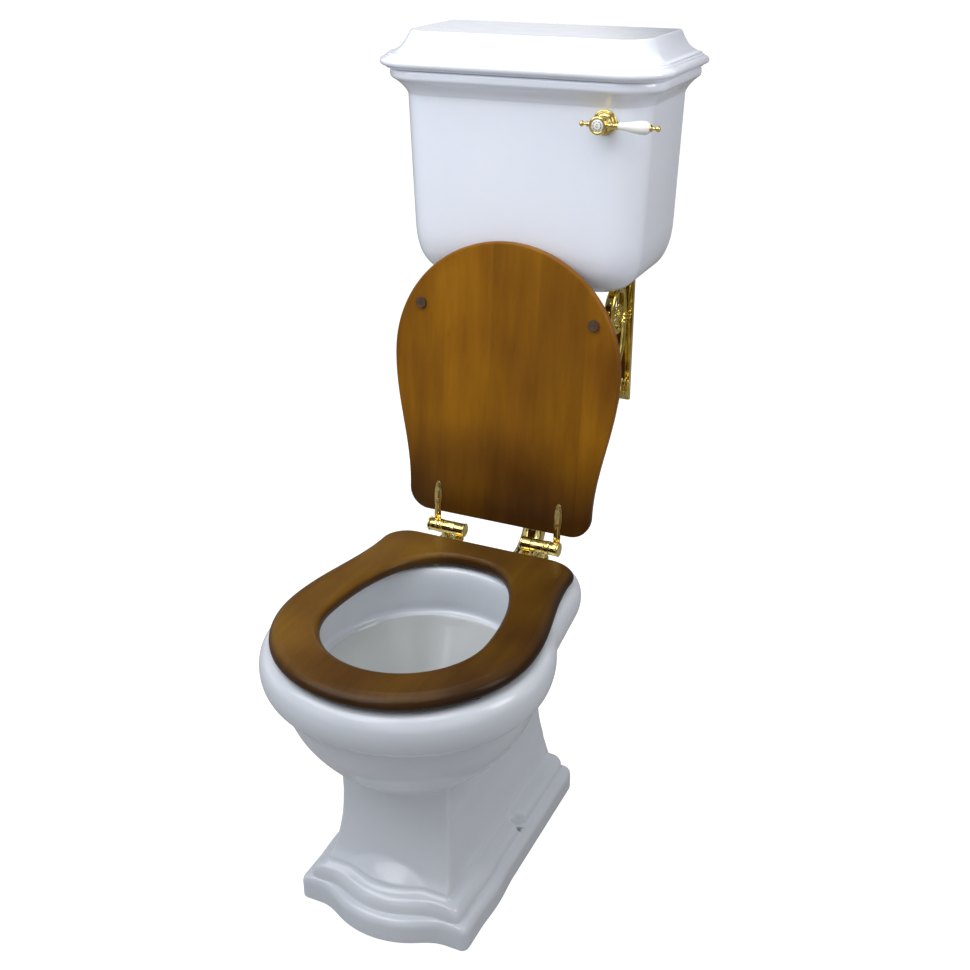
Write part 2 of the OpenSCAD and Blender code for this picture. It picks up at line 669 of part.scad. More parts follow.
module lever_bezel() {
    color(gold) translate([lever_x, hub_y - 6, lever_z]) rotate([90, 0, 0])
        rotate_extrude($fn = 64)
            polygon([[8.6, 0], [11.5, 0], [12.2, 1.5], [11.5, 3], [9.2, 3.6], [8.6, 3]]);
}

module lever_button() {
    color("white") translate([lever_x, hub_y - 6, lever_z]) rotate([90, 0, 0])
        rotate_extrude($fn = 64) polygon([[0, 0], [8.5, 0], [8.5, 2.2], [6.5, 3.6], [3.5, 4.3], [0, 4.5]]);
}

// Turned shapes along the lever's arm, as distance from the axis and radius
function along(points) = [for (p = points) [p[1], p[0]]];
module arm_turned(points, s = 1) {
    translate([lever_x, hub_y, lever_z]) rotate([0, s * 90, 0])
        rotate_extrude($fn = 48) polygon(along(points));
}

module lever_collar() {
    color(gold) arm_turned([[16, 0], [16, 4], [18, 5], [20, 3.8], [22, 3.8], [24, 5.4], [26, 5.4],
        [26.5, 4.4], [26.5, 0]]);
}

module lever_handle() {
    color("white") arm_turned([[26.5, 0], [26.5, 4.3], [32, 5], [42, 6.6], [52, 8.3], [59, 9], [64, 8.7],
        [68, 7], [70.2, 4.6], [70.5, 0]]);
}

module lever_finial() {
    color(gold) arm_turned([[70.5, 0], [70.5, 4.4], [72, 4.8], [73, 2.6], [76, 2], [77.5, 2.6],
        [79, 3.8], [80.6, 4.1], [82.4, 3.7], [83.8, 2], [84.2, 0]]);
}

module lever_ball() {
    color(gold) arm_turned([[16, 0], [16, 3.4], [17.5, 3.8], [18.5, 2], [21.5, 1.8], [22.6, 3.2], [24.6, 4],
        [26.8, 3.4], [28.2, 1.8], [28.6, 0]], -1);
}

// ---- Inside the cistern ----

arm_y = tank_front_y + 30;
link_x = 30;
arm_len = 117;
arm_t = 4;
spindle_r = 6.05;
tube_r = 12;

module lift_arm() {
    color(gold) difference() {
        union() {
            cyl_y(11, arm_y, arm_y + 8, lever_x, lever_z);
            translate([lever_x - arm_len, arm_y, lever_z - 5]) cube([arm_len - 6, arm_t, 10]);
        }
        cyl_y(spindle_r, arm_y - 1, arm_y + 12, lever_x, lever_z);
        translate([lever_x, arm_y + 4, lever_z]) cylinder(r = 2.05, h = 12, $fn = 32);
    }
}

module lift_arm_screw() {
    color([0.6, 0.6, 0.6]) translate([lever_x, arm_y + 4, lever_z + spindle_r + 0.2])
        cylinder(r = 2, h = 6, $fn = 32);
}

seal_z = tank_bottom_z + 60.3;
link_low_z = lever_z - 66;
stirrup_gap = 4;

// Stirrup over the lift arm, carried down to a collar on the overflow tube
module lift_link() {
    color([0.75, 0.75, 0.75]) difference() {
        union() {
            translate([0, pipe_y, link_low_z]) cylinder(r = 20, h = 5, $fn = 48);
            translate([0, arm_y - stirrup_gap - 3, link_low_z])
                cube([link_x + 3, pipe_y - arm_y - 8, 5]);
            for (y = [arm_y - stirrup_gap - 3, arm_y + arm_t + stirrup_gap])
                translate([link_x - 3, y, link_low_z]) cube([6, 3, lever_z + 8.5 - link_low_z]);
            translate([link_x - 3, arm_y - stirrup_gap - 3, lever_z + 5.5])
                cube([6, arm_t + 2 * stirrup_gap + 6, 3]);
        }
        translate([0, pipe_y, link_low_z - 1]) cylinder(r = tube_r + 0.1, h = 8, $fn = 48);
    }
}

module valve_body() {
    color([0.9, 0.9, 0.9]) translate([0, pipe_y, 0]) difference() {
        union() {
            translate([0, 0, pipe_top_z + 0.1]) cylinder(r = 23, h = 53.9, $fn = 64);
            translate([0, 0, tank_bottom_z + 15]) cylinder(r = 34, h = 5, $fn = 64);
            translate([0, 0, tank_bottom_z + 15]) cylinder(r = 30, h = 45, $fn = 64);
        }
        translate([0, 0, tank_bottom_z - 41]) cylinder(r = 20, h = 120, $fn = 64);
    }
}

module valve_washer() {
    color([0.15, 0.15, 0.15]) translate([0, pipe_y, tank_bottom_z + 12.1]) difference() {
        cylinder(r = 33, h = 2.8, $fn = 64);
        translate([0, 0, -1]) cylinder(r = 23.05, h = 6, $fn = 64);
    }
}

module valve_back_nut() {
    color([0.9, 0.9, 0.9]) translate([0, pipe_y, tank_bottom_z - 13]) difference() {
        cylinder(r = 33, h = 12.5, $fn = 8);
        translate([0, 0, -1]) cylinder(r = 23, h = 16, $fn = 64);
    }
}

module valve_seal() {
    color([0.3, 0.12, 0.1]) translate([0, pipe_y, seal_z]) difference() {
        cylinder(r = 28, h = 5, $fn = 64);
        translate([0, 0, -1]) cylinder(r = tube_r, h = 8, $fn = 48);
    }
}

module overflow_tube() {
    color([0.9, 0.9, 0.9]) translate([0, pipe_y, seal_z]) difference() {
        union() {
            cylinder(r = tube_r, h = lever_z - 20 - seal_z, $fn = 48);
            translate([0, 0, 5]) cylinder(r = 22, h = 4, $fn = 48);
            translate([0, 0, link_low_z - 4 - seal_z]) cylinder(r = 16, h = 4, $fn = 48);
        }
        translate([0, 0, -1]) cylinder(r = tube_r - 2, h = lever_z - seal_z, $fn = 48);
    }
}

stem_top_z = lever_z - 40;
floor_z = tank_bottom_z + 12;
plunger_r = 4;
pivot_x = stem_x + 22;
pivot_z = stem_top_z + 22;
float_x = 70;
float_r = 28;
ear_y = 5;

module inlet_stem() {
    color([0.8, 0.7, 0.4]) translate([stem_x, stem_y, 0]) difference() {
        union() {
            translate([0, 0, tank_bottom_z - 45]) cylinder(r = 10.4, h = 36, $fn = 48);
            translate([0, 0, tank_bottom_z - 10]) cylinder(r = 10.6, h = 28, $fn = 48);
            translate([0, 0, floor_z + 3]) cylinder(r = 16, h = 5, $fn = 48);
            translate([0, 0, floor_z + 7]) cylinder(r = 8, h = stem_top_z - floor_z - 7, $fn = 48);
            translate([-12, -24, stem_top_z - 12]) cube([24, 33, 24]);
            for (y = [-ear_y - 4, ear_y])
                translate([10, y, stem_top_z - 12]) cube([18, 4, 40]);
        }
        translate([0, 0, tank_bottom_z - 46]) cylinder(r = 6, h = stem_top_z - tank_bottom_z + 36, $fn = 48);
        translate([0, 0, stem_top_z - 12]) cylinder(r = plunger_r + 0.06, h = 30, $fn = 32);
        translate([0, -16, stem_top_z - 13]) cylinder(r = 3.5, h = 14, $fn = 32);
        cyl_y(2, -20, 20, pivot_x - stem_x, pivot_z, 24);
    }
}

module inlet_washer() {
    color([0.15, 0.15, 0.15]) translate([stem_x, stem_y, floor_z + 0.1]) difference() {
        cylinder(r = 16, h = 2.8, $fn = 48);
        translate([0, 0, -1]) cylinder(r = 10.7, h = 6, $fn = 48);
    }
}

module inlet_back_nut() {
    color([0.8, 0.7, 0.4]) translate([stem_x, stem_y, tank_bottom_z - 9]) difference() {
        cylinder(r = 16, h = 8, $fn = 6);
        translate([0, 0, -1]) cylinder(r = 10.6, h = 12, $fn = 48);
    }
}

module inlet_plunger() {
    color([0.9, 0.9, 0.9]) translate([stem_x, stem_y, stem_top_z - 3])
        cylinder(r = plunger_r, h = 20, $fn = 32);
}

module float_pivot_pin() {
    color(gold) cyl_y(2, stem_y - ear_y - 4, stem_y + ear_y + 4, pivot_x, pivot_z, 24);
}

module float_arm() {
    color(gold) difference() {
        union() {
            cyl_y(5, stem_y - 4.5, stem_y + 4.5, pivot_x, pivot_z, 32);
            cyl_x(2.5, pivot_x + 3, float_x - float_r + 2, stem_y, pivot_z, 24);
            translate([pivot_x - 27, stem_y - 3, pivot_z - 4]) cube([27, 6, 5]);
        }
        cyl_y(2.05, stem_y - 6, stem_y + 6, pivot_x, pivot_z, 24);
    }
}

module float_ball() {
    color([0.85, 0.45, 0.2]) difference() {
        translate([float_x, stem_y, pivot_z]) sphere(r = float_r, $fn = 64);
        cyl_x(2.5, float_x - float_r - 5, float_x - float_r + 2, stem_y, pivot_z, 24);
    }
}

module fill_tube() {
    color([0.9, 0.9, 0.9]) translate([stem_x, stem_y - 16, floor_z + 30]) difference() {
        cylinder(r = 5, h = stem_top_z - 12.1 - floor_z - 30, $fn = 32);
        translate([0, 0, -1]) cylinder(r = 3.5, h = 200, $fn = 32);
    }
}

// ---- Wall brackets ----

bracket_x = 108;
bracket_w = 26;
plate_t = 6;
bracket_top_z = tank_bottom_z - 3;
bracket_low_z = 591;
scroll_y = 322;
scroll_z = 752;
rail_front_y = 292;

module bracket_profile() {
    difference() {
        union() {
            // Scroll ring, and the sweep from it down to the wall plate
            translate([scroll_y, scroll_z]) circle(r = 36, $fn = 48);
            polygon([[scroll_y - 34, scroll_z + 12], [rail_front_y, bracket_top_z - 3],
                [wall_y - 2, bracket_top_z - 3], [wall_y - 2, scroll_z - 92],
                [scroll_y + 12, scroll_z - 74], [scroll_y - 22, scroll_z - 28]]);
        }
        translate([scroll_y, scroll_z]) circle(r = 25, $fn = 48);
    }
    translate([scroll_y, scroll_z]) circle(r = 12, $fn = 32);
    translate([scroll_y - 28, scroll_z - 3]) square([56, 6]);
}

module bracket(s) {
    color(gold) translate([s * bracket_x, 0, 0]) difference() {
        union() {
            translate([-bracket_w / 2 - 1, wall_y - plate_t, bracket_low_z])
                cube([bracket_w + 2, plate_t, bracket_top_z - bracket_low_z]);
            translate([-bracket_w / 2 + 6, 0, 0]) rotate([90, 0, 90])
                linear_extrude(bracket_w - 12) bracket_profile();
            translate([-bracket_w / 2, rail_front_y, bracket_top_z - 5])
                cube([bracket_w, wall_y - rail_front_y, 5]);
        }
        for (z = [bracket_low_z + 19, bracket_low_z + 59])
            cyl_y(3, wall_y - plate_t - 1, wall_y + 1, 0, z, 32);
    }
}

module bracket_left() { bracket(-1); }
module bracket_right() { bracket(1); }

module bracket_pads() {
    color([0.15, 0.15, 0.15]) for (s = [-1, 1])
        translate([s * bracket_x - bracket_w / 2 + 2, rail_front_y + 4, bracket_top_z])
            cube([bracket_w - 4, 60, tank_bottom_z - bracket_top_z]);
}

pan();
pan_outlet();
flush_pipe();
flush_pipe_nut();
flush_cone();
seat_ring();
seat_buffers();
seat_leaves();
seat_leaf_screws();
lid();
lid_buffers();
lid_leaves();
lid_leaf_screws();
hinge_barrels();
hinge_pins();
hinge_studs();
hinge_washers();
hinge_nuts();
cistern_tank();
cistern_lid();
lever_escutcheon();
lever_bush();
lever_bush_nut();
lever_spindle();
lever_hub();
lever_bezel();
lever_button();
lever_collar();
lever_handle();
lever_finial();
lever_ball();
lift_arm();
lift_arm_screw();
lift_link();
valve_body();
valve_seal();
overflow_tube();
valve_washer();
valve_back_nut();
inlet_stem();
inlet_washer();
inlet_back_nut();
inlet_plunger();
float_arm();
float_ball();
float_pivot_pin();
fill_tube();
bracket_left();
bracket_right();
bracket_pads();
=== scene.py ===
"""Low-level toilet: ceramic pan, wooden seat and lid, brass hinges, cistern on wall brackets."""

import math

import bmesh
import bpy
import numpy as np
from mathutils import Matrix, Vector


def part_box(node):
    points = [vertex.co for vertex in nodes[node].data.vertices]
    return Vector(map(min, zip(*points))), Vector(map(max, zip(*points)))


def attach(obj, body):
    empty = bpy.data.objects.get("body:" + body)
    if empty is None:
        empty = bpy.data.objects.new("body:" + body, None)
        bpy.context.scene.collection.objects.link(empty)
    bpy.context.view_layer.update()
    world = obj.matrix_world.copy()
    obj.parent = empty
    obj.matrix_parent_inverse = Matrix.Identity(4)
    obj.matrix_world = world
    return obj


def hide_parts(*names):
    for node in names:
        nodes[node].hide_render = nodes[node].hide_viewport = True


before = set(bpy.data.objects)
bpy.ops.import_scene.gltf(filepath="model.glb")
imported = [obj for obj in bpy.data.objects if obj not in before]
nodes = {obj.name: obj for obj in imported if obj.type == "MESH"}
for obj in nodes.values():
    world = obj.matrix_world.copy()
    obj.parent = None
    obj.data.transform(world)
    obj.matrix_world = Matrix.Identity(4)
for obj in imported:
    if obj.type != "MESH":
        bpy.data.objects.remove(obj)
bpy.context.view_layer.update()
MM = 0.001


# ---------------------------------------------------------------- mesh helpers

def corner_mm(node):
    """Lowest and highest corner of a CAD node in millimetres."""
    low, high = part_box(node)
    return np.array(low) / MM, np.array(high) / MM


def add_mesh(name, points, faces, material, smooth_angle=None):
    """A mesh object from points in millimetres, smooth shaded."""
    mesh = bpy.data.meshes.new(name)
    mesh.from_pydata((np.asarray(points) * MM).tolist(), [], [list(map(int, f)) for f in faces])
    mesh.validate()
    mesh.polygons.foreach_set("use_smooth", [True] * len(mesh.polygons))
    if smooth_angle is not None:
        mesh.set_sharp_from_angle(angle=math.radians(smooth_angle))
    obj = bpy.data.objects.new(name, mesh)
    bpy.context.scene.collection.objects.link(obj)
    obj.data.materials.append(material)
    return obj


def grid_faces(rows, columns, wrap_rows=False):
    """Quads between rings of equal counts; each ring closes on itself."""
    faces = []
    for j in range(rows if wrap_rows else rows - 1):
        k = (j + 1) % rows
        for i in range(columns):
            n = (i + 1) % columns
            faces.append((j * columns + i, k * columns + i, k * columns + n, j * columns + n))
    return faces


def loft(name, rings, material, smooth_angle=None):
    """A closed skin over rings, with a fan over each end.

    Known fault: over lathe's rings, and over those of the cover, seat and lid, the faces point inwards."""
    rings = np.array(rings)
    rows, columns = rings.shape[:2]
    points = np.concatenate([rings.reshape(-1, 3), [rings[0].mean(0)], [rings[-1].mean(0)]])
    first, last, base = rows * columns, rows * columns + 1, (rows - 1) * columns
    faces = grid_faces(rows, columns)
    faces += [(first, i, (i + 1) % columns) for i in range(columns)]
    faces += [(last, base + (i + 1) % columns, base + i) for i in range(columns)]
    return add_mesh(name, points, faces, material, smooth_angle)


def smooth_rows(rows, steps=5):
    """A spline through rows of numbers. A row given twice in turn stays a sharp corner."""
    rows = [np.array(r, float) for r in rows]
    spans = []
    start = 0
    for i in range(1, len(rows)):
        if np.allclose(rows[i], rows[i - 1]):
            spans.append(rows[start:i])
            start = i
    spans.append(rows[start:])
    out = []
    for span in spans:
        if len(span) < 2:
            out.append(span[0])
            continue
        ends = [2 * span[0] - span[1]] + span + [2 * span[-1] - span[-2]]
        for a, b, c, d in zip(ends, ends[1:], ends[2:], ends[3:]):
            for k in range(steps):
                t = k / steps
                out.append(0.5 * (2 * b + (c - a) * t + (2 * a - 5 * b + 4 * c - d) * t**2
                                  + (3 * b - a - 3 * c + d) * t**3))
        out.append(span[-1])
    return out


def arc(cx, cy, rx, ry, start, end, steps):
    """Points on an ellipse's arc, angles in degrees."""
    turns = np.radians(np.linspace(start, end, steps + 1))
    return [(cx + rx * math.cos(t), cy + ry * math.sin(t)) for t in turns]


def lathe(name, profile, place, axis, material, steps=64, smooth_angle=35):
    """A turned shape. profile is (distance along the axis, radius) in millimetres."""
    axis = Vector(axis).normalized()
    side = axis.orthogonal().normalized()
    up = axis.cross(side)
    points = []
    for along, radius in profile:
        for k in range(steps):
            t = 2 * math.pi * k / steps
            outward = side * math.cos(t) + up * math.sin(t)
            points.append(Vector(place) + axis * along + outward * max(radius, 0.01))
    rings = np.array([tuple(p) for p in points]).reshape(len(profile), steps, 3)
    return loft(name, rings, material, smooth_angle)


def block(name, low, high, material, bevel=0.8):
    """A box between two corners in millimetres, with rounded edges."""
    low, high = np.array(low, float), np.array(high, float)
    shape = bmesh.new()
    bmesh.ops.create_cube(shape, size=1.0)
    for vertex in shape.verts:
        vertex.co = Vector(((low + high) / 2 + np.array(vertex.co) * (high - low)) * MM)
    bmesh.ops.bevel(shape, geom=shape.edges[:], offset=bevel * MM, segments=3, profile=0.5,
                    affect="EDGES")
    mesh = bpy.data.meshes.new(name)
    shape.to_mesh(mesh)
    shape.free()
    mesh.polygons.foreach_set("use_smooth", [True] * len(mesh.polygons))
    mesh.set_sharp_from_angle(angle=math.radians(50))
    obj = bpy.data.objects.new(name, mesh)
    bpy.context.scene.collection.objects.link(obj)
    mesh.materials.append(material)
    return obj


def ribbon(name, path, x, half_x, half_t, material, steps=20):
    """A strap swept along (y, z) points about the plane at x. half_t is a thickness at each point."""
    path = np.array(smooth_rows(path, 6))
    ahead = np.gradient(path, axis=0)
    ahead /= np.linalg.norm(ahead, axis=1, keepdims=True)
    across = np.column_stack([-ahead[:, 1], ahead[:, 0]])
    thick = np.interp(np.linspace(0, 1, len(path)), np.linspace(0, 1, len(half_t)), half_t)
    wide = np.interp(np.linspace(0, 1, len(path)), np.linspace(0, 1, len(half_x)), half_x)
    rings = []
    for q, n, t, w in zip(path, across, thick, wide):
        ring = []
        for k in range(steps):
            a = 2 * math.pi * k / steps
            c, d = math.cos(a), math.sin(a)
            groove = 1 - 0.28 * max(0.0, 1 - abs(c) * 2.6) ** 2
            ring.append((x + w * math.copysign(abs(c) ** 0.8, c), *(q + n * t * d * groove)))
        rings.append(ring)
    return loft(name, rings, material)


def rosette(name, place, radius, height, petals, material, steps=96):
    """A flower of raised petals facing along X, height away from place (negative faces -X)."""
    rings = []
    for f, lift in ((1.0, 0.0), (0.98, 0.25), (0.9, 0.42), (0.75, 0.5), (0.6, 0.46), (0.46, 0.34),
                    (0.36, 0.38), (0.33, 0.7), (0.25, 0.92), (0.12, 1.0)):
        ring = []
        for k in range(steps):
            t = 2 * math.pi * k / steps
            petal = abs(math.cos(petals * t / 2))
            r = radius * f * (1 - 0.22 * (1 - petal) * min(1, f * 1.4))
            up = lift * (0.55 + 0.45 * petal if f > 0.35 else 1.0)
            ring.append((place[0] + height * up, place[1] + r * math.cos(t), place[2] + r * math.sin(t)))
        rings.append(ring)
    return loft(name, rings, material)


def joined(name, objects):
    """One object from several, keeping their materials."""
    bpy.ops.object.select_all(action="DESELECT")
    for o in objects:
        o.select_set(True)
    bpy.context.view_layer.objects.active = objects[0]
    bpy.ops.object.join()
    objects[0].name = name
    return objects[0]


def boolean(target, cutter, operation):
    """Applies a boolean of target with cutter, and deletes cutter.

    Known fault: lathe's cutters are inside out, so DIFFERENCE opens no hole with them."""
    modifier = target.modifiers.new("cut", "BOOLEAN")
    modifier.object = cutter
    modifier.operation = operation
    modifier.solver = "EXACT"
    bpy.context.view_layer.objects.active = target
    bpy.ops.object.modifier_apply(modifier=modifier.name)
    bpy.data.objects.remove(cutter)


def take(piece, body, *names):
    """Puts a piece in place of CAD nodes."""
    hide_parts(*names)
    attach(piece, body)


# ---------------------------------------------------------------- materials

class Shader:
    """A short way to write node trees."""

    def __init__(self, name):
        self.material = bpy.data.materials.new(name)
        self.material.use_nodes = True
        self.tree = self.material.node_tree
        self.main = self.tree.nodes["Principled BSDF"]
        self.place = self.node("ShaderNodeTexCoord").outputs["Object"]

    def node(self, kind, inputs=None, **settings):
        made = self.tree.nodes.new(kind)
        for key, value in settings.items():
            setattr(made, key, value)
        for key, value in (inputs or {}).items():
            if isinstance(value, bpy.types.NodeSocket):
                self.tree.links.new(value, made.inputs[key])
            else:
                made.inputs[key].default_value = value
        return made

    def set(self, **values):
        for key, value in values.items():
            socket = self.main.inputs[key.replace("_", " ")]
            if isinstance(value, bpy.types.NodeSocket):
                self.tree.links.new(value, socket)
            else:
                socket.default_value = value

    def scaled(self, scale, vector=None):
        return self.node("ShaderNodeMapping",
                         {"Vector": vector or self.place, "Scale": scale}).outputs["Vector"]

    def noise(self, scale, detail=3.0, vector=None, roughness=0.5):
        return self.node("ShaderNodeTexNoise", {"Vector": vector or self.place, "Scale": scale,
                                                "Detail": detail, "Roughness": roughness}).outputs["Fac"]

    def ramp(self, value, stops):
        made = self.node("ShaderNodeValToRGB", {"Fac": value})
        elements = made.color_ramp.elements
        while len(elements) < len(stops):
            elements.new(0.5)
        for element, (position, colour) in zip(elements, stops):
            element.position = position
            element.color = (*colour, 1.0)
        return made.outputs["Color"]

    def math(self, operation, a, b=0.0):
        return self.node("ShaderNodeMath", {0: a, 1: b}, operation=operation).outputs[0]

    def mix(self, factor, a, b, blend="MIX"):
        made = self.tree.nodes.new("ShaderNodeMix")
        made.data_type = "RGBA"
        made.blend_type = blend
        for index, value in ((0, factor), (6, a), (7, b)):
            if isinstance(value, bpy.types.NodeSocket):
                self.tree.links.new(value, made.inputs[index])
            else:
                made.inputs[index].default_value = value
        return made.outputs[2]

    def bump(self, height, strength, distance):
        made = self.node("ShaderNodeBump", {"Height": height, "Strength": strength, "Distance": distance})
        self.tree.links.new(made.outputs["Normal"], self.main.inputs["Normal"])


# the basin's middle, its lowest point and the ledge over it, in metres; they bound the painted shade
# inside the basin
BASIN_Y, BASIN_LOW, BASIN_TOP = -0.142, 0.205, 0.3465


def ceramic(name, low, high, roughness=0.13, coat=0.5, painted_basin_shade=False):
    """Glazed vitreous china: faint mottling, slight ripple in the glaze and a hard gloss coat.

    painted_basin_shade paints shade into the inside of the pan's basin: a little warmer and darker below
    its ledge."""
    s = Shader(name)
    colour = s.ramp(s.noise(6.0, 4.0), [(0.3, low), (0.7, high)])
    if painted_basin_shade:
        split = s.node("ShaderNodeSeparateXYZ", {"Vector": s.place}).outputs
        y = s.math("SUBTRACT", split[1], BASIN_Y)
        reach = s.math("SQRT", s.math("ADD", s.math("MULTIPLY", split[0], split[0]),
                                      s.math("MULTIPLY", y, y)))
        wall = s.math("ADD", s.math("MULTIPLY", s.math("SUBTRACT", split[2], 0.2), 0.88), 0.04)
        basin_shade_mask = s.math("MULTIPLY", s.math("LESS_THAN", reach, wall),
                        s.math("LESS_THAN", split[2], BASIN_TOP))
        basin_shade_mask = s.math("MULTIPLY", basin_shade_mask, s.math("GREATER_THAN", split[2], BASIN_LOW))
        # painted shade: the basin's inside below its ledge is darkened and warmed
        colour = s.mix(1.0, colour, s.mix(basin_shade_mask, (1, 1, 1, 1), (0.80, 0.785, 0.72, 1)), "MULTIPLY")
    s.set(Base_Color=colour, IOR=1.5,
          Roughness=s.node("ShaderNodeMapRange", {"Value": s.noise(30.0), "To Min": roughness * 0.8,
                                                  "To Max": roughness * 1.35}).outputs[0],
          Coat_Weight=coat, Coat_Roughness=roughness * 0.5, Subsurface_Weight=0.06,
          Subsurface_Scale=0.004)
    s.bump(s.noise(22.0, 2.0), 0.05, 0.002)
    return s.material


def brass(name, colour=(0.84, 0.66, 0.24), roughness=0.1, tarnish=0.1):
    """Polished brass with faint tarnish clouds and fine buffing marks."""
    s = Shader(name)
    cloud = s.noise(45.0, 5.0)
    dark = tuple(c * (1 - tarnish * 2.4) for c in colour)
    s.set(Metallic=1.0, Base_Color=s.ramp(cloud, [(0.35, dark), (0.62, colour)]),
          Roughness=s.node("ShaderNodeMapRange", {"Value": s.noise(120.0, 4.0), "To Min": roughness * 0.6,
                                                  "To Max": roughness * 1.7}).outputs[0])
    s.bump(s.noise(260.0, 3.0), 0.012, 0.0004)
    return s.material


def rubber(name, colour, roughness=0.6):
    s = Shader(name)
    light = tuple(min(1, c * 1.5 + 0.01) for c in colour)
    s.set(Base_Color=s.ramp(s.noise(160.0, 4.0), [(0.35, colour), (0.7, light)]), Roughness=roughness)
    s.bump(s.noise(900.0, 2.0), 0.15, 0.0004)
    return s.material


def plastic(name, colour, roughness=0.35):
    s = Shader(name)
    dark = tuple(c * 0.88 for c in colour)
    s.set(Base_Color=s.ramp(s.noise(40.0), [(0.3, dark), (0.7, colour)]), Roughness=roughness)
    s.bump(s.noise(500.0, 2.0), 0.05, 0.0003)
    return s.material


def steel(name):
    s = Shader(name)
    s.set(Metallic=1.0, Base_Color=s.ramp(s.noise(80.0),
                                          [(0.3, (0.45, 0.45, 0.46)), (0.7, (0.62, 0.62, 0.63))]),
          Roughness=0.32)
    s.bump(s.noise(600.0, 3.0), 0.08, 0.0003)
    return s.material


def timber(name, along, across, board, tones, fade, edge=None):
    """Satin-varnished, stained hardwood staves with soft amber clouds.

        along and across are axes 0, 1 or 2 and board is a stave's width in metres. fade is
        (axis, darkest place, lightest place, darkest tone): the colour darkens that way.
            edge is the same for a second, sharper change. On the seat both are painted shade."""
    s = Shader(name)
    split = s.node("ShaderNodeSeparateXYZ", {"Vector": s.place}).outputs
    stave = s.math("FLOOR", s.math("DIVIDE", s.math("ADD", split[across], board * 0.3), board))
    jitter = s.node("ShaderNodeTexWhiteNoise", {"W": s.math("ADD", stave, 3.7)},
                    noise_dimensions="1D").outputs[0]
    shift = s.node("ShaderNodeCombineXYZ", {"X": s.math("MULTIPLY", jitter, 9.0), "Y": jitter,
                                            "Z": s.math("MULTIPLY", jitter, 5.0)}).outputs[0]
    moved = s.node("ShaderNodeVectorMath", {0: s.place, 1: shift}, operation="ADD").outputs[0]
    stretch, pores = [60.0, 60.0, 60.0], [420.0, 420.0, 420.0]
    stretch[along], pores[along] = 5.0, 26.0
    fibre = s.noise(1.0, 5.0, s.scaled(stretch, moved), 0.55)
    pore = s.noise(1.0, 3.0, s.scaled(pores, moved), 0.6)
    dark, light = tones
    colour = s.ramp(fibre, [(0.2, dark), (0.8, light)])
    colour = s.mix(1.0, colour, s.ramp(jitter, [(0.0, (0.86, 0.84, 0.80)), (1.0, (1.10, 1.10, 1.10))]),
                   "MULTIPLY")
    cloud = s.ramp(s.noise(6.5, 1.5, s.scaled((1.0, 1.0, 0.8))), [(0.36, (0.72, 0.66, 0.62)),
                                                                  (0.5, (1.0, 0.98, 0.8)),
                                                                  (0.66, (1.24, 1.27, 0.7))])
    colour = s.mix(1.0, colour, cloud, "MULTIPLY")
    # darkening along an axis: painted shade on the seat; on the lid, darker towards the bottom
    for axis, dark_at, light_at, tone in (fade, edge) if edge else (fade,):
        drift = s.math("MULTIPLY", s.noise(8.0), abs(light_at - dark_at) * 0.6)
        where = s.node("ShaderNodeMapRange", {"Value": s.math("ADD", split[axis], drift),
                                              "From Min": dark_at, "From Max": light_at}).outputs[0]
        colour = s.mix(1.0, colour, s.ramp(where, [(0.0, tone), (1.0, (1.0, 1.0, 1.0))]), "MULTIPLY")
    colour = s.mix(s.math("MULTIPLY", s.math("GREATER_THAN", pore, 0.66), 0.18), colour,
                   (*[c * 0.3 for c in dark], 1))
    s.set(Base_Color=colour, Coat_Weight=0.12, Coat_Roughness=0.16, Specular_IOR_Level=0.12,
          Roughness=s.node("ShaderNodeMapRange",
                           {"Value": fibre, "To Min": 0.34, "To Max": 0.5}).outputs[0])
    s.bump(s.math("ADD", s.math("MULTIPLY", fibre, 0.5), s.math("MULTIPLY", pore, 0.5)), 0.08, 0.0006)
    return s.material


def badge(name, low, high):
    """Glazed china with a plain printed ring of dashes round a drop."""
    s = Shader(name)
    split = s.node("ShaderNodeSeparateXYZ", {"Vector": s.place}).outputs
    x = s.math("SUBTRACT", split[0], LEVER_X * MM)
    z = s.math("SUBTRACT", split[2], LEVER_Z * MM)
    reach = s.math("SQRT", s.math("ADD", s.math("MULTIPLY", x, x), s.math("MULTIPLY", z, z)))
    turned = s.math("ABSOLUTE", s.math("SINE", s.math("MULTIPLY", s.math("ARCTAN2", z, x), 4.5)))
    ring = s.math("COMPARE", reach, 0.0056)
    ring.node.inputs[2].default_value = 0.0007
    band = s.math("MULTIPLY", ring, s.math("GREATER_THAN", turned, 0.3))
    drop = s.math("COMPARE", s.math("ADD", reach, s.math("MULTIPLY", s.math("ABSOLUTE", x), 1.2)), 0.0024)
    drop.node.inputs[2].default_value = 0.0006
    ink = s.math("MAXIMUM", band, drop)
    glaze = s.ramp(s.noise(60.0), [(0.3, low), (0.7, high)])
    s.set(Base_Color=s.mix(s.math("MULTIPLY", ink, 0.8), glaze, (0.05, 0.055, 0.05, 1.0)), Roughness=0.1,
          Coat_Weight=0.5, Coat_Roughness=0.05)
    s.bump(s.noise(60.0, 2.0), 0.04, 0.001)
    return s.material


LEVER_X, LEVER_Z = 131.0, 1056.0
SEAT_TOP = corner_mm("seat_ring")[1][2] * MM
# one china in two copies: the cistern's is painted lighter and bluer as painted light, the pan's darker
# and greyer as painted shade
cistern_china_lit = ceramic("china_cistern", (0.82, 0.86, 0.955), (0.85, 0.885, 0.975))
pan_china = ceramic("china_pan", (0.64, 0.675, 0.74), (0.685, 0.72, 0.775), 0.2, 0.35, True)
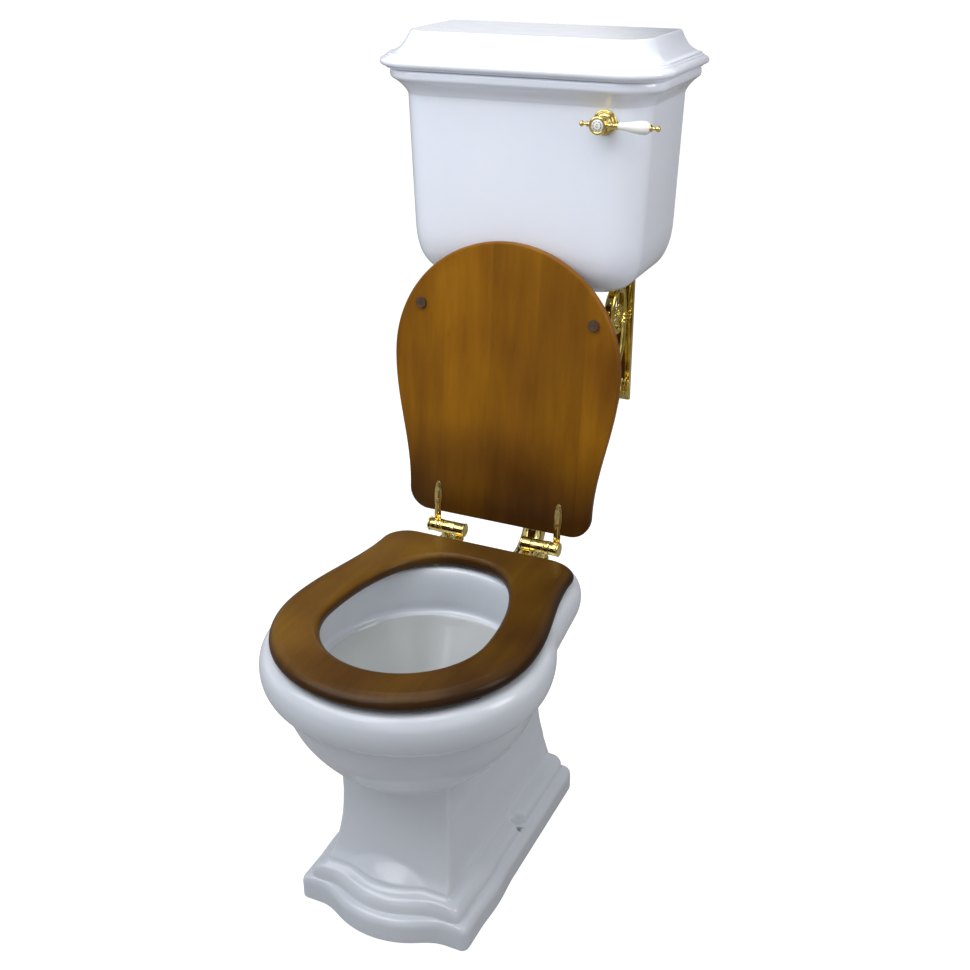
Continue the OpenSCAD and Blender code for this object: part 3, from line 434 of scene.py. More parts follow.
# near-black painted shade for the inside of the floor holes
hole_shade = rubber("painted_hole_shade", (0.030, 0.024, 0.014), 0.8)
knob_china = ceramic("china_knob", (0.86, 0.85, 0.81), (0.90, 0.89, 0.86), 0.08)
button_china = badge("china_button", (0.80, 0.80, 0.77), (0.85, 0.85, 0.82))
gold = brass("brass_polished")
cast_gold = brass("brass_cast", (0.82, 0.62, 0.15), 0.14, 0.14)
lid_wood = timber("wood_lid", 2, 0, 0.074, ((0.165, 0.062, 0.0030), (0.245, 0.100, 0.0055)),
                  (2, 0.52, 0.66, (0.30, 0.28, 0.34)))
# painted shade: the seat darker towards +x, away from the light, and darker on its rolled edges below the
# flat top
seat_wood = timber("wood_seat", 1, 0, 0.124, ((0.105, 0.049, 0.007), (0.158, 0.077, 0.012)),
                   (0, 0.26, 0.0, (0.42, 0.36, 0.26)),
                   (2, SEAT_TOP - 0.006, SEAT_TOP - 0.0016, (0.42, 0.37, 0.32)))
brown_rubber = rubber("rubber_brown", (0.060, 0.032, 0.016), 0.4)
black_rubber = rubber("rubber_black", (0.02, 0.02, 0.02))
red_rubber = rubber("rubber_red", (0.18, 0.05, 0.03))
white_plastic = plastic("plastic_white", (0.8, 0.8, 0.78))
orange_plastic = plastic("plastic_orange", (0.75, 0.28, 0.10))
stainless = steel("steel_brushed")


# ---------------------------------------------------------------- pan

WALL_Y = corner_mm("cistern_tank")[1][1]
pan_low, pan_high = corner_mm("pan")
RIM_TOP = pan_high[2]
RIM_R, RIM_MID = 201.0, 391.0
RIM_CY = pan_low[1] + RIM_R
BOWL_CY = RIM_CY + 3
PAN_CY = -110.0
RIM_REAR_Y, REAR_HALF_W, RIM_TAPER, TAPER_Y = 120.0, 158.0, 0.1, 100.0
PLINTH_HALF_W, PLINTH_FRONT, PLINTH_REAR = 134.0, -281.0, 120.0
PLINTH_BOW_Y, PLINTH_BOW_R = -310.0, 133.0
HOLE_X, HOLE_Y, HOLE_R = 120.0, -56.0, 4.5
PAN_STEPS = 480
TINY, FAR = 1e-3, 1e3
turn = np.arange(PAN_STEPS) * 2 * math.pi / PAN_STEPS
SIN, COS = np.sin(turn), np.cos(turn)


def smin(a, b, k):
    """Smooth minimum of two radii, blended over k."""
    return np.minimum(a, b) - np.maximum(k - abs(a - b), 0) ** 2 / (4 * k)


def smax(a, b, k):
    """Smooth maximum of two radii, blended over k."""
    return -smin(-a, -b, k)


def circle_at(r, cy):
    """Radius from the pan's centre to a circle of radius r at (0, cy), for every direction."""
    d = PAN_CY - cy
    q = r * r - (d * SIN) ** 2
    return np.where(q > 0, d * COS + np.sqrt(np.maximum(q, 0)), 1.0)


def box_at(w, front, back, k):
    """The same to a box of half width w, its corners rounded over k."""
    side = w / np.maximum(abs(SIN), TINY)
    end = np.where(COS > 0, (PAN_CY - front) / np.maximum(COS, TINY),
                   (back - PAN_CY) / np.maximum(-COS, TINY))
    return smin(side, end, k)


def polar_ring(radii, z):
    """A ring of points at height z, radii away from the pan's centre."""
    return np.stack([radii * SIN, PAN_CY - radii * COS, np.broadcast_to(z, radii.shape)], 1)


def table(z, pairs):
    """The value at height z in a table of (height, value) pairs."""
    heights, values = zip(*pairs)
    return float(np.interp(z, heights, values))


def soft_table(pairs, steps=8):
    """A table with a spline through its pairs, so that the surface has no kinks."""
    return [tuple(p) for p in smooth_rows(pairs, steps)]


BOWL = soft_table([(196, 48), (200, 58), (210, 76), (225, 98), (245, 121), (270, 144), (300, 164),
                   (330, 176), (360, 183.5)])
COLUMN_W = soft_table([(62, 101), (70, 97), (90, 92), (130, 86), (165, 84), (200, 84), (330, 88),
                       (360, 98)])
COLUMN_FRONT = soft_table([(62, -268), (70, -260), (90, -246), (130, -236), (165, -232), (200, -231)])
FOOT_BOW = soft_table([(60, 108), (66, 102), (72, 95), (80, 85), (90, 70), (106, 40)])
COLUMN_REAR = soft_table([(66, 108), (100, 104), (176, 94), (300, 92), (340, 106), (353, 110)])


def rim_ring(inset, z):
    """A round front that runs straight back to wide rounded rear corners."""
    slant = np.maximum(abs(SIN) - RIM_TAPER * COS, TINY)
    side = (REAR_HALF_W - inset + RIM_TAPER * (TAPER_Y - PAN_CY)) / slant
    end = np.where(COS > 0, (PAN_CY - RIM_CY - 40) / np.maximum(COS, TINY),
                   (RIM_REAR_Y - inset - PAN_CY) / np.maximum(-COS, TINY))
    front = circle_at(RIM_R - inset, RIM_CY) + np.where(COS > 0, 4 * (2 * SIN * COS) ** 2, 0)
    return polar_ring(smax(front, smin(side, end, 100), 10), z)


def column_radii(z):
    """The column, with its bowed foot in front."""
    radii = box_at(table(z, COLUMN_W), table(z, COLUMN_FRONT), table(z, COLUMN_REAR), 8)
    if z > FOOT_BOW[-1][0]:
        return radii
    return smax(radii, circle_at(table(z, FOOT_BOW), PLINTH_BOW_Y + PLINTH_BOW_R), 10)


def body_radii(z):
    """The column, and the bowl that swells out of its top."""
    if z < BOWL[0][0]:
        return column_radii(z)
    return smax(column_radii(z), circle_at(table(z, BOWL), BOWL_CY), 11)


def plinth_radii(inset):
    """The plinth's outline: a box with a bowed front, stepped in by inset."""
    return smax(box_at(PLINTH_HALF_W - inset, PLINTH_FRONT + inset * 0.4, PLINTH_REAR - inset * 0.4, 16),
                circle_at(PLINTH_BOW_R - inset, PLINTH_BOW_Y + PLINTH_BOW_R), 14)


def bitten(radii, size):
    """Radii cut back to clear a round notch about each floor hole."""
    ahead = abs(SIN) * HOLE_X - COS * (HOLE_Y - PAN_CY)
    aside = HOLE_X ** 2 + (HOLE_Y - PAN_CY) ** 2 - ahead ** 2
    half_chord = np.sqrt(np.maximum(size ** 2 - aside, 0))
    near = np.where((aside < size ** 2) & (ahead > 0), ahead - half_chord, FAR)
    return smin(radii, near, 2.5)


def basin_ring(w, length, cy, z):
    """An oval of half width w and half length length about (0, cy)."""
    return np.stack([w * SIN, cy - length * COS, np.full(PAN_STEPS, float(z))], 1)


def hollow_ring(inset, z):
    """The column's inside, inset from its outer face."""
    return polar_ring(box_at(table(z, COLUMN_W) - inset, table(z, COLUMN_FRONT) + inset,
                             table(z, COLUMN_REAR) - inset, 7), z)


def pan_rings():
    """Rings from inside the foot, up the outside, over the rim and down into the basin."""
    rings = [hollow_ring(13, z) for z in (180, 130, 90)]
    rings += [polar_ring(plinth_radii(27), 40), polar_ring(plinth_radii(26), 0)]
    foot = [(2.5, 0), (2.5, 0), (0.6, 1), (0, 3.5), (0, 16), (0, 27), (1.2, 32.5), (4, 36.5), (8, 38.6),
            (12, 39.6)]
    rings += [polar_ring(plinth_radii(d), z) for d, z in smooth_rows(foot, 4)]
    # upper moulding: inset, height, and the radius of the notch round each floor hole
    step = [(12.8, 40, 12), (13.6, 41.2, 12.6), (14, 43.5, 13), (14.6, 48, 13.4), (16.2, 53, 14),
            (19.5, 57.5, 15), (24, 60.5, 16.5), (28.5, 62, 18)]
    rings += [polar_ring(bitten(plinth_radii(d), size), z) for d, z, size in smooth_rows(step, 4)]
    last, base, high = bitten(plinth_radii(28.5), 18), 62, 71
    for u in np.linspace(0.1, 1, 9):
        # a small cove from the moulding's top into the column
        rings.append(polar_ring(last + (body_radii(high) - last) * (1 - (1 - u) ** 2),
                                base + (high - base) * u))
    rings += [polar_ring(body_radii(z), z) for z in np.arange(73, 190, 3.0)]
    rings += [polar_ring(body_radii(z), z) for z in np.arange(190, 260, 1.5)]
    rings += [polar_ring(body_radii(z), z) for z in np.arange(260, 356, 3.0)]
    top = RIM_TOP
    rim = [(22, 356.5), (21, 357.2), (19.6, 357.6), (19.6, 357.6), (16.5, 358.2), (11.5, 360.8),
           (6.5, 366), (2.8, 373.5), (0.7, 382), (0, RIM_MID), (0.5, 398), (2, 405), (5.2, 411.5),
           (10, 416.8), (16, 420), (22, top), (30, top), (42, top)]
    # known fault: the last inset reaches inside the basin's first oval at the sides, and the skin folds
    rings += [rim_ring(d, z) for d, z in smooth_rows(rim, 4)]
    basin = [(156, 168, -143, top), (152.5, 164.5, -143, top - 1), (149.5, 161.5, -143, top - 4.5),
             (147.5, 159.5, -143, top - 12), (147, 159, -143, 392), (148.5, 160, -143, 370),
             (150, 160.5, -142, 357), (149.4, 159.4, -141.5, 351.5), (146.5, 156, -141, 348.2),
             (142.5, 152, -141, 346.6), (142.5, 152, -141, 346.6), (140.5, 149.5, -141, 343.5),
             (134, 142.5, -142, 331), (121, 127, -142, 309), (104, 108, -141, 284), (86, 88, -139, 260),
             (66, 66, -136, 238), (46, 45, -133, 223), (28, 27, -130, 216), (12, 12, -128, 214.4)]
    rings += [basin_ring(*row) for row in smooth_rows(basin, 4)]
    return rings


def cylinder(name, radius, start, end, material, steps=96, bevel=1.5):
    """A plain turned bar between two points, its ends slightly rounded."""
    start, end = Vector(start), Vector(end)
    length = (end - start).length
    profile = [(0, radius - bevel), (bevel * 0.3, radius - bevel * 0.3), (bevel, radius),
               (length - bevel, radius), (length - bevel * 0.3, radius - bevel * 0.3),
               (length, radius - bevel)]
    return lathe(name, profile, start, end - start, material, steps)


def make_pan():
    pan = loft("pan_china", pan_rings(), pan_china)
    outlet_z, outlet_r, outlet_start, outlet_end = 190, 51, 84, corner_mm("pan_outlet")[1][1]
    inlet_z, inlet_end = 345, 148
    length = outlet_end - outlet_start
    spigot = [(0, 48), (1, outlet_r), (70, outlet_r), (72, outlet_r), (73, outlet_r), (77, outlet_r),
              (78, outlet_r), (length - 3, outlet_r), (length, 48)]
    horns = [lathe("outlet", spigot, (0, outlet_start, outlet_z), (0, 1, 0), pan_china, 96),
             cylinder("inlet", 36, (0, 86, inlet_z), (0, inlet_end, inlet_z), pan_china, bevel=4)]
    boolean(pan, joined("horns", horns), "UNION")
    holes = [cylinder("bore", 44, (0, 60, outlet_z), (0, outlet_end + 5, outlet_z), pan_china, bevel=0.2),
             cylinder("bore", 27.5, (0, 92, inlet_z), (0, inlet_end + 5, inlet_z), pan_china, bevel=0.2)]
    for x in (-HOLE_X, HOLE_X):
        holes.append(cylinder("hole", HOLE_R, (x, HOLE_Y, -3), (x, HOLE_Y, 70), pan_china, 32, 0.1))
    for x in (-STEM_X, STEM_X):
        stepped = [(0, 11), (85, 11), (85.1, 7), (130, 7)]
        holes.append(lathe("hole", stepped, (x, HINGE_Y, 300), (0, 0, 1), pan_china, 48))
    boolean(pan, joined("holes", holes), "DIFFERENCE")
    pan.data.polygons.foreach_set("use_smooth", [True] * len(pan.data.polygons))
    pan.data.set_sharp_from_angle(angle=math.radians(65))
    # a near-black sheet of painted shade inside each floor hole, hidden while the cut above leaves them
    # closed
    hole_shade_sheets, hole_shade_r = [], HOLE_R - 0.1
    for x in (-HOLE_X, HOLE_X):
        ring = [(x + hole_shade_r * math.cos(t), HOLE_Y + hole_shade_r * math.sin(t))
                for t in np.arange(24) * math.pi / 12]
        points = [(a, b, z) for z in (1.0, 38.6) for a, b in ring]
        hole_shade_sheets.append(add_mesh("hole_shade_sheets", points, grid_faces(2, 24), hole_shade))
    pan = joined("pan_china", [pan, *hole_shade_sheets])
    take(pan, "frame", "pan", "pan_outlet")


# ---------------------------------------------------------------- cistern

TANK_HALF_W, TANK_FRONT, FRONT_R = 184.0, 180.0, 48.0
TAPER_TOP, TANK_TAPER = 1060, 0.035
tank_low, tank_high = corner_mm("cistern_tank")
TANK_LOW, TANK_TOP = tank_low[2], tank_high[2]
cover_low, cover_high = corner_mm("cistern_lid")
CORNER_STEPS, REAR_STEPS = 28, 8


def rounded_box(w, front, back, rf, rb, z):
    """A ring round a box, with wide front corners and small rear ones."""
    right = [(w - rf + rf * math.sin(t), front + rf - rf * math.cos(t))
             for t in np.radians(np.linspace(0, 90, CORNER_STEPS + 1))]
    right += [(w - rb + rb * math.cos(t), back - rb + rb * math.sin(t))
              for t in np.radians(np.linspace(0, 90, REAR_STEPS + 1))]
    ring = right + [(-x, y) for x, y in reversed(right)]
    return [(x, y, z) for x, y in ring]


def tank_inner(d, z):
    """The tank's inner wall, narrowed by d."""
    return (TANK_HALF_W - 18 - d, TANK_FRONT + 10 + d, WALL_Y - 10 - d * 0.5, 26, 14, z)


def tank_flange(f, z):
    """The tank's flared top edge, widened by f."""
    return (TANK_HALF_W + f, TANK_FRONT - f, WALL_Y, FRONT_R + f * 0.6, 6, z)


def tank_body(d, z):
    """The tank's outer wall, which leans in towards the bottom and is rounded off by d."""
    return (TANK_HALF_W - (TAPER_TOP - z) * TANK_TAPER - d, TANK_FRONT + d, WALL_Y - min(d, 6),
            max(FRONT_R - d * 0.5, 12), 6, z)


def make_tank():
    b, t = TANK_LOW, TANK_TOP
    rows = [tank_inner(34, b + 12), tank_inner(12, b + 22), tank_inner(2, b + 42), tank_inner(0, b + 70),
            tank_inner(0, t - 30), tank_inner(-8, t - 14), tank_inner(-10, t - 1), tank_inner(-10.5, t),
            tank_inner(-10.5, t), tank_flange(18.5, t), tank_flange(18.5, t), tank_flange(20.5, t - 0.6),
            tank_flange(22, t - 3), tank_flange(22.4, t - 7), tank_flange(21.8, t - 11),
            tank_flange(19.5, t - 14), tank_flange(16.5, t - 16.2), tank_flange(12.5, t - 19.5),
            tank_flange(8.2, t - 24), tank_flange(4.6, t - 28.5), tank_flange(1.6, t - 33.5),
            tank_body(0, t - 38.5), tank_body(0, t - 60), tank_body(0, b + 150), tank_body(0, b + 90),
            tank_body(0.3, b + 72), tank_body(1.6, b + 57), tank_body(5, b + 41), tank_body(11, b + 27.5),
            tank_body(20, b + 16), tank_body(32, b + 7.5), tank_body(46, b + 2), tank_body(56, b + 0.3),
            tank_body(66, b)]
    tank = loft("cistern_china", [rounded_box(*row) for row in smooth_rows(rows, 5)], cistern_china_lit, 40)
    holes = [cylinder("hole", 24, (0, 275, b - 5), (0, 275, b + 30), cistern_china_lit, 64, 0.1),
             cylinder("hole", 11, (-75, 325, b - 5), (-75, 325, b + 30), cistern_china_lit, 48, 0.1),
             cylinder("hole", 9, (LEVER_X, 170, LEVER_Z), (LEVER_X, 205, LEVER_Z), cistern_china_lit, 48, 0.1)]
    for x in (-130, 130):
        holes.append(cylinder("hole", 4.5, (x, 350, 1035), (x, 380, 1035), cistern_china_lit, 32, 0.1))
    boolean(tank, joined("holes", holes), "DIFFERENCE")
    take(tank, "frame", "cistern_tank")


def make_cover():
    base, top = cover_low[2], cover_high[2]
    half_w = cover_high[0]
    front = TANK_FRONT - (half_w - TANK_HALF_W)

    def row(d, z):
        return (half_w - d, front + d, WALL_Y - d * 0.45, max(FRONT_R + 14 - d * 0.5, 8),
                max(8 - d * 0.1, 3), z)

    rows = [row(60, base + 12), row(30, base + 12), row(29, base + 8), row(28, base + 2), row(26, base),
            row(26, base), row(9.5, base), row(8, base + 0.3), row(7.2, base + 1.6), row(7, base + 2.4),
            row(7, base + 2.4), row(4.5, base + 2.8), row(1.6, base + 4.6), row(0.2, base + 7.4),
            row(0.4, base + 10.4), row(2.4, base + 13), row(5.4, base + 14.4), row(6.6, base + 14.9),
            row(6.6, base + 14.9), row(7, base + 16.4), row(7, base + 16.4), row(8.6, base + 16.9),
            row(9.8, base + 18), row(10.2, base + 19.6), row(10.2, base + 19.6), row(13, base + 20.2),
            row(18, base + 22), row(23.5, base + 25.5), row(28.4, base + 30.5), row(32.2, base + 36.5),
            row(35, base + 42), row(37, base + 46.4), row(38.4, top - 0.6), row(39.6, top),
            row(41.5, top), row(60, top), row(80, top)]
    cover = loft("cistern_cover_china", [rounded_box(*r) for r in smooth_rows(rows, 4)], cistern_china_lit, 40)
    take(cover, "cistern_cover", "cistern_lid")


# ---------------------------------------------------------------- wooden seat and lid

HINGE_Y, HINGE_Z, STEM_X = 105.0, 441.0, 80.0
LID_LEAN = 5.6
seat_low, seat_high = corner_mm("seat_ring")
SEAT_R, SEAT_REAR, SEAT_HALF_W = seat_high[0], seat_high[1], 156.0
SEAT_CY = seat_low[1] + SEAT_R
CORNER_R = 32.0
OPEN_R, OPEN_CY, OPEN_REAR = 117.0, -176.0, 21.0
ARC, FLANK, CORNER = 60, 40, 20


def mirrored(side):
    """A closed outline from the half that has x >= 0, from front to back."""
    return np.array(side + [(-x, y) for x, y in reversed(side[1:])])


def keyhole(r, cy, w, back, rc):
    """A round front that narrows in a slow curve to a square back with round corners."""
    side = [(r * math.sin(t), cy - r * math.cos(t)) for t in np.radians(np.linspace(0, 90, ARC + 1))]
    for i in range(1, FLANK):
        u = i / FLANK
        side.append((w + (r - w) * (0.5 + 0.5 * math.cos(math.pi * u)), cy + u * (back - rc - cy)))
    corner = np.radians(np.linspace(0, 90, CORNER + 1))
    side += [(w - rc + rc * math.cos(t), back - rc + rc * math.sin(t)) for t in corner]
    return mirrored(side)


def egg():
    """The seat's opening, with as many points as the keyhole."""
    front = np.radians(np.linspace(0, 90, ARC + 1))
    side = [(OPEN_R * math.sin(t), OPEN_CY - OPEN_R * math.cos(t)) for t in front]
    for i in range(1, FLANK + CORNER + 1):
        t = math.radians(90 * i / (FLANK + CORNER + 1))
        side.append((OPEN_R * math.cos(t) ** 0.8, OPEN_CY + (OPEN_REAR - OPEN_CY) * math.sin(t)))
    return mirrored(side)


def toward(p, q, d):
    """Points moved from p towards q by d."""
    step = q - p
    return p + step * d / np.linalg.norm(step, axis=1, keepdims=True)


def level(points, z):
    """A flat outline at height z."""
    return np.column_stack([points, np.full(len(points), z)])


def make_seat():
    outer, inner = keyhole(SEAT_R, SEAT_CY, SEAT_HALF_W, SEAT_REAR, CORNER_R), egg()
    low, top = seat_low[2], seat_high[2]
    # (distance in from the edge, height): a rolled outer edge and a smaller inner roll,
    # each meeting the flat top at a soft line
    lift = (top - low - 6) / math.sin(math.radians(110))
    roll = [(x, z) for x, z in arc(6, low + 6, 6, 6, 270, 180, 8)]
    roll += [(x, z) for x, z in arc(26, low + 6, 26, lift, 180, 110, 18)]
    rings = [level(toward(outer, inner, x), z) for x, z in roll]
    flat = roll[-1][0] + 0.4
    rings += [level(toward(outer, inner, x), top) for x in (flat, flat + 1.5, flat + 6)]
    lift = (top - low - 8) / math.sin(math.radians(110))
    inner_roll = [(x, z) for x, z in arc(15, low + 8, 15, lift, 110, 180, 14)]
    start = inner_roll[0][0] + 0.4
    inner_roll = [(start + 6, top), (start + 1.5, top), (start, top)] + inner_roll
    inner_roll += [(x, z) for x, z in arc(5, low + 8, 5, 8, 180, 270, 8)][1:]
    rings += [level(toward(inner, outer, x), z) for x, z in inner_roll]
    rings = np.array(rings)
    rows, columns = rings.shape[:2]
    seat = add_mesh("seat_wood", rings.reshape(-1, 3), grid_faces(rows, columns, True), seat_wood, 40)
    take(seat, "seat", "seat_ring")


def opened(points):
    """Points drawn with the lid closed, turned up to where it rests."""
    turn_up = Matrix.Rotation(math.radians(-90 - LID_LEAN), 3, "X")
    pivot = Vector((0, HINGE_Y, HINGE_Z))
    return np.array([tuple(pivot + turn_up @ (Vector(p) - pivot)) for p in points])


LID_LEN, LID_R, LID_HALF_W, LID_T = 428.0, 179.0, 150.0, 18.0
LID_REAR = HINGE_Y - 19.0
LID_UNDER = HINGE_Z + 9.5


def make_lid():
    cy = LID_REAR - LID_LEN + LID_R
    outline = keyhole(LID_R, cy, LID_HALF_W, LID_REAR, CORNER_R)
    middle = np.broadcast_to([0.0, -150.0], outline.shape)
    profile = arc(3.2, LID_UNDER + 3.2, 3.2, 3.2, 270, 180, 6)
    profile += arc(9, LID_UNDER + LID_T - 10.5, 9, 10.5, 180, 90, 14)
    rings = [level(toward(outline, middle, x), z) for x, z in profile]
    inside = [level(toward(outline, middle, x), LID_UNDER) for x in (60, 20, 6)]
    outside = [level(toward(outline, middle, x), LID_UNDER + LID_T) for x in (14, 60)]
    rings = [opened(r) for r in inside + rings + outside]
    lid = loft("lid_wood", rings, lid_wood, 40)
    take(lid, "lid", "lid")


# ---------------------------------------------------------------- carried-over nodes

def dress(material, *names, bevel=0.0):
    """Gives CAD nodes their finish, and softens their edges by bevel millimetres."""
    for name in names:
        node = nodes[name]
        node.data.materials.clear()
        node.data.materials.append(material)
        node.data.polygons.foreach_set("use_smooth", [True] * len(node.data.polygons))
        if bevel:
            soften = node.modifiers.new("soften", "BEVEL")
            soften.width = bevel * MM
            soften.segments = 2
            soften.limit_method = "ANGLE"
            soften.angle_limit = math.radians(40)
            soften.harden_normals = True


def dress_all():
    dress(gold, "seat_leaves", "seat_leaf_screws", "lid_leaf_screws", "flush_pipe_nut", "inlet_back_nut",
          bevel=0.3)
    dress(gold, "hinge_studs", "flush_pipe", "lever_bush", "lever_bush_nut", "lever_spindle", "lift_arm",
          "inlet_stem", "float_arm", "float_pivot_pin")
    dress(brown_rubber, "seat_buffers", "lid_buffers", bevel=0.8)
    dress(black_rubber, "flush_cone", "bracket_pads", "valve_washer", "inlet_washer", "hinge_washers")
    dress(red_rubber, "valve_seal")
    dress(white_plastic, "hinge_nuts", "valve_body", "overflow_tube", "valve_back_nut", "inlet_plunger",
          "fill_tube")
    dress(orange_plastic, "float_ball")
    dress(stainless, "lift_link", "lift_arm_screw")


# ---------------------------------------------------------------- hinges, lever and brackets

BARREL_R = 10.0


def make_hinges():
    barrels, pins, leaves = [], [], []
    barrel = [(0, 9), (0.3, 9.7), (1, BARREL_R), (18.4, BARREL_R), (18.8, 9.6), (19.2, 9), (19.8, 9),
              (20.2, 9.6), (20.6, 10.1), (21.6, 10.3), (22.4, 10), (22.8, 9.1), (23.4, 9.1), (23.8, 10),
              (24.4, 10.5), (25.6, 10.8), (28.6, 10.6), (29.3, 10.1), (29.5, 9.4)]
    cap = [(0, 9.4), (0.3, 10.3), (1, 10.8), (2, 10.7), (2.6, 9.8), (2.9, 8.4), (3, 5)]
    stem = [(0, 10.2), (0.3, 10.9), (1.6, 11), (2.6, 10.4), (3.1, 9.2), (3.6, 8.3), (5, 8), (14, 8),
            (18, 8)]
    for s in (-1, 1):
        barrels.append(lathe("barrel", barrel, (s * 64, HINGE_Y, HINGE_Z), (s, 0, 0), gold, 64, 25))
        barrels.append(lathe("stem", stem, (s * STEM_X, HINGE_Y, RIM_TOP + 0.1), (0, 0, 1), gold, 64, 25))
        pins.append(lathe("cap", cap, (s * 106.3, HINGE_Y, HINGE_Z), (s, 0, 0), gold, 64, 30))
        pins.append(lathe("cap", cap[:-2] + [(2.4, 8), (2.5, 5)], (s * 50.1, HINGE_Y, HINGE_Z),
                          (-s, 0, 0), gold, 64, 30))
        x, under = s * 100.0, LID_UNDER
        width = smooth_rows([(105, 5.0), (98, 5.2), (88, 5.6), (80, 5.0), (72, 5.5), (62, 6.0), (52, 5.7),
                             (44, 4.8), (39, 3.6), (36.2, 2.0), (35.2, 0.6)], 4)
        rings = []
        for y, w in width:
            crown = 1.7 + 1.3 * min(1.0, w / 5.0)
            section = [(-w, -0.05), (-w, -1.1), (-0.86 * w, -1.5), (-0.5 * w, -1.6), (-0.34 * w, -1.8),
                       (-0.2 * w, -crown + 0.3), (0, -crown)]
            section += [(-a, b) for a, b in reversed(section[:-1])]
            rings.append([(x + a, y, under + b) for a, b in section])
        ring = [(0, 9), (0.4, 9.7), (1.2, BARREL_R), (10.8, BARREL_R), (11.6, 9.7), (12, 9)]
        leaves.append(loft("leaf", opened(np.array(rings).reshape(-1, 3)).reshape(len(rings), -1, 3),
                           gold, 30))
        leaves.append(lathe("ring", ring, (s * 94, HINGE_Y, HINGE_Z), (s, 0, 0), gold, 64, 25))
    take(joined("hinge_barrels_turned", barrels), "frame", "hinge_barrels")
    take(joined("hinge_pin_caps", pins), "frame", "hinge_pins")
    take(joined("lid_leaves_cast", leaves), "lid", "lid_leaves")


def make_lever():
    hub_y = TANK_FRONT - 22

    def turned(name, rows, start, axis, material, node, extra=()):
        piece = lathe(name, smooth_rows(rows, 4), start, axis, material, 64, 40)
        if extra:
            piece = joined(name, [piece, *extra])
        take(piece, "frame" if node == "lever_escutcheon" else "lever", node)

    forward = (0, -1, 0)
    turned("escutcheon", [(0.2, 15.6), (0.4, 16.5), (1.5, 17), (2.7, 16.5), (3.3, 15.3), (2.9, 14.2),
                          (2.9, 14.2), (3.2, 13.6), (4.6, 12.9), (5.9, 11.3), (6.6, 10), (7.6, 9.3),
                          (9, 9)],
           (LEVER_X, TANK_FRONT, LEVER_Z), forward, gold, "lever_escutcheon")
    cross = lathe("cross", [(0, 2.6), (0.3, 3), (31.7, 3), (32, 2.6)], (LEVER_X - 16, hub_y, LEVER_Z),
                  (1, 0, 0), gold, 32)
    turned("hub", [(0, 9), (0.6, 9.8), (1.6, 10), (5, 9.4), (9, 9.2), (13, 9.6), (16.5, 10), (18.2, 9.8),
                   (18.5, 9.4)],
           (LEVER_X, TANK_FRONT - 9.5, LEVER_Z), forward, gold, "lever_hub", [cross])
    turned("bezel", [(0, 8.7), (0, 11.2), (0.5, 11.9), (1.6, 12.2), (2.8, 11.7), (3.5, 10.6), (3.6, 9.6),
                     (3.2, 8.9), (2.4, 8.7)],
           (LEVER_X, hub_y - 6, LEVER_Z), forward, gold, "lever_bezel")
    turned("button", [(0, 8.5), (2.0, 8.5), (2.7, 7.9), (3.5, 6.4), (4.1, 4.2), (4.4, 2.2), (4.5, 0.1)],
           (LEVER_X, hub_y - 6, LEVER_Z), forward, button_china, "lever_button")
    hub = (LEVER_X, hub_y, LEVER_Z)
    turned("collar", [(16, 2.4), (16.2, 3.8), (17, 4.7), (18, 5), (19, 4.6), (20, 3.8), (21, 3.6),
                      (22, 3.8), (23, 4.6), (24, 5.4), (25.2, 5.6), (26, 5.2), (26.5, 4.4)], hub,
           (1, 0, 0), gold, "lever_collar")
    turned("handle", [(26.5, 4.2), (28, 4.5), (32, 5), (37, 5.7), (42, 6.6), (47, 7.5), (52, 8.3),
                      (56, 8.8), (59, 9), (62, 9), (65, 8.5), (67.4, 7.4), (69.2, 5.9), (70.2, 4.7),
                      (70.5, 4.2)], hub, (1, 0, 0), knob_china, "lever_handle")
    turned("finial", [(70.5, 4.2), (71, 4.8), (71.8, 4.8), (72.6, 3.6), (73.4, 2.5), (75, 2.1),
                      (76.6, 2.2), (77.8, 2.8), (79, 3.8), (80.6, 4.15), (82.2, 3.8), (83.4, 2.7),
                      (84.1, 1.2), (84.2, 0.1)], hub, (1, 0, 0), gold, "lever_finial")
    turned("ball", [(16, 2.6), (16.3, 3.6), (17.2, 3.8), (18.2, 2.8), (19, 1.9), (20.6, 1.7), (21.6, 2.1),
                    (22.6, 3.2), (24, 4), (25.6, 4), (27, 3.3), (28.1, 1.9), (28.6, 0.2)], hub,
           (-1, 0, 0), gold, "lever_ball")


BRACKET_X, SCREW_Z = 108.0, (610, 650)


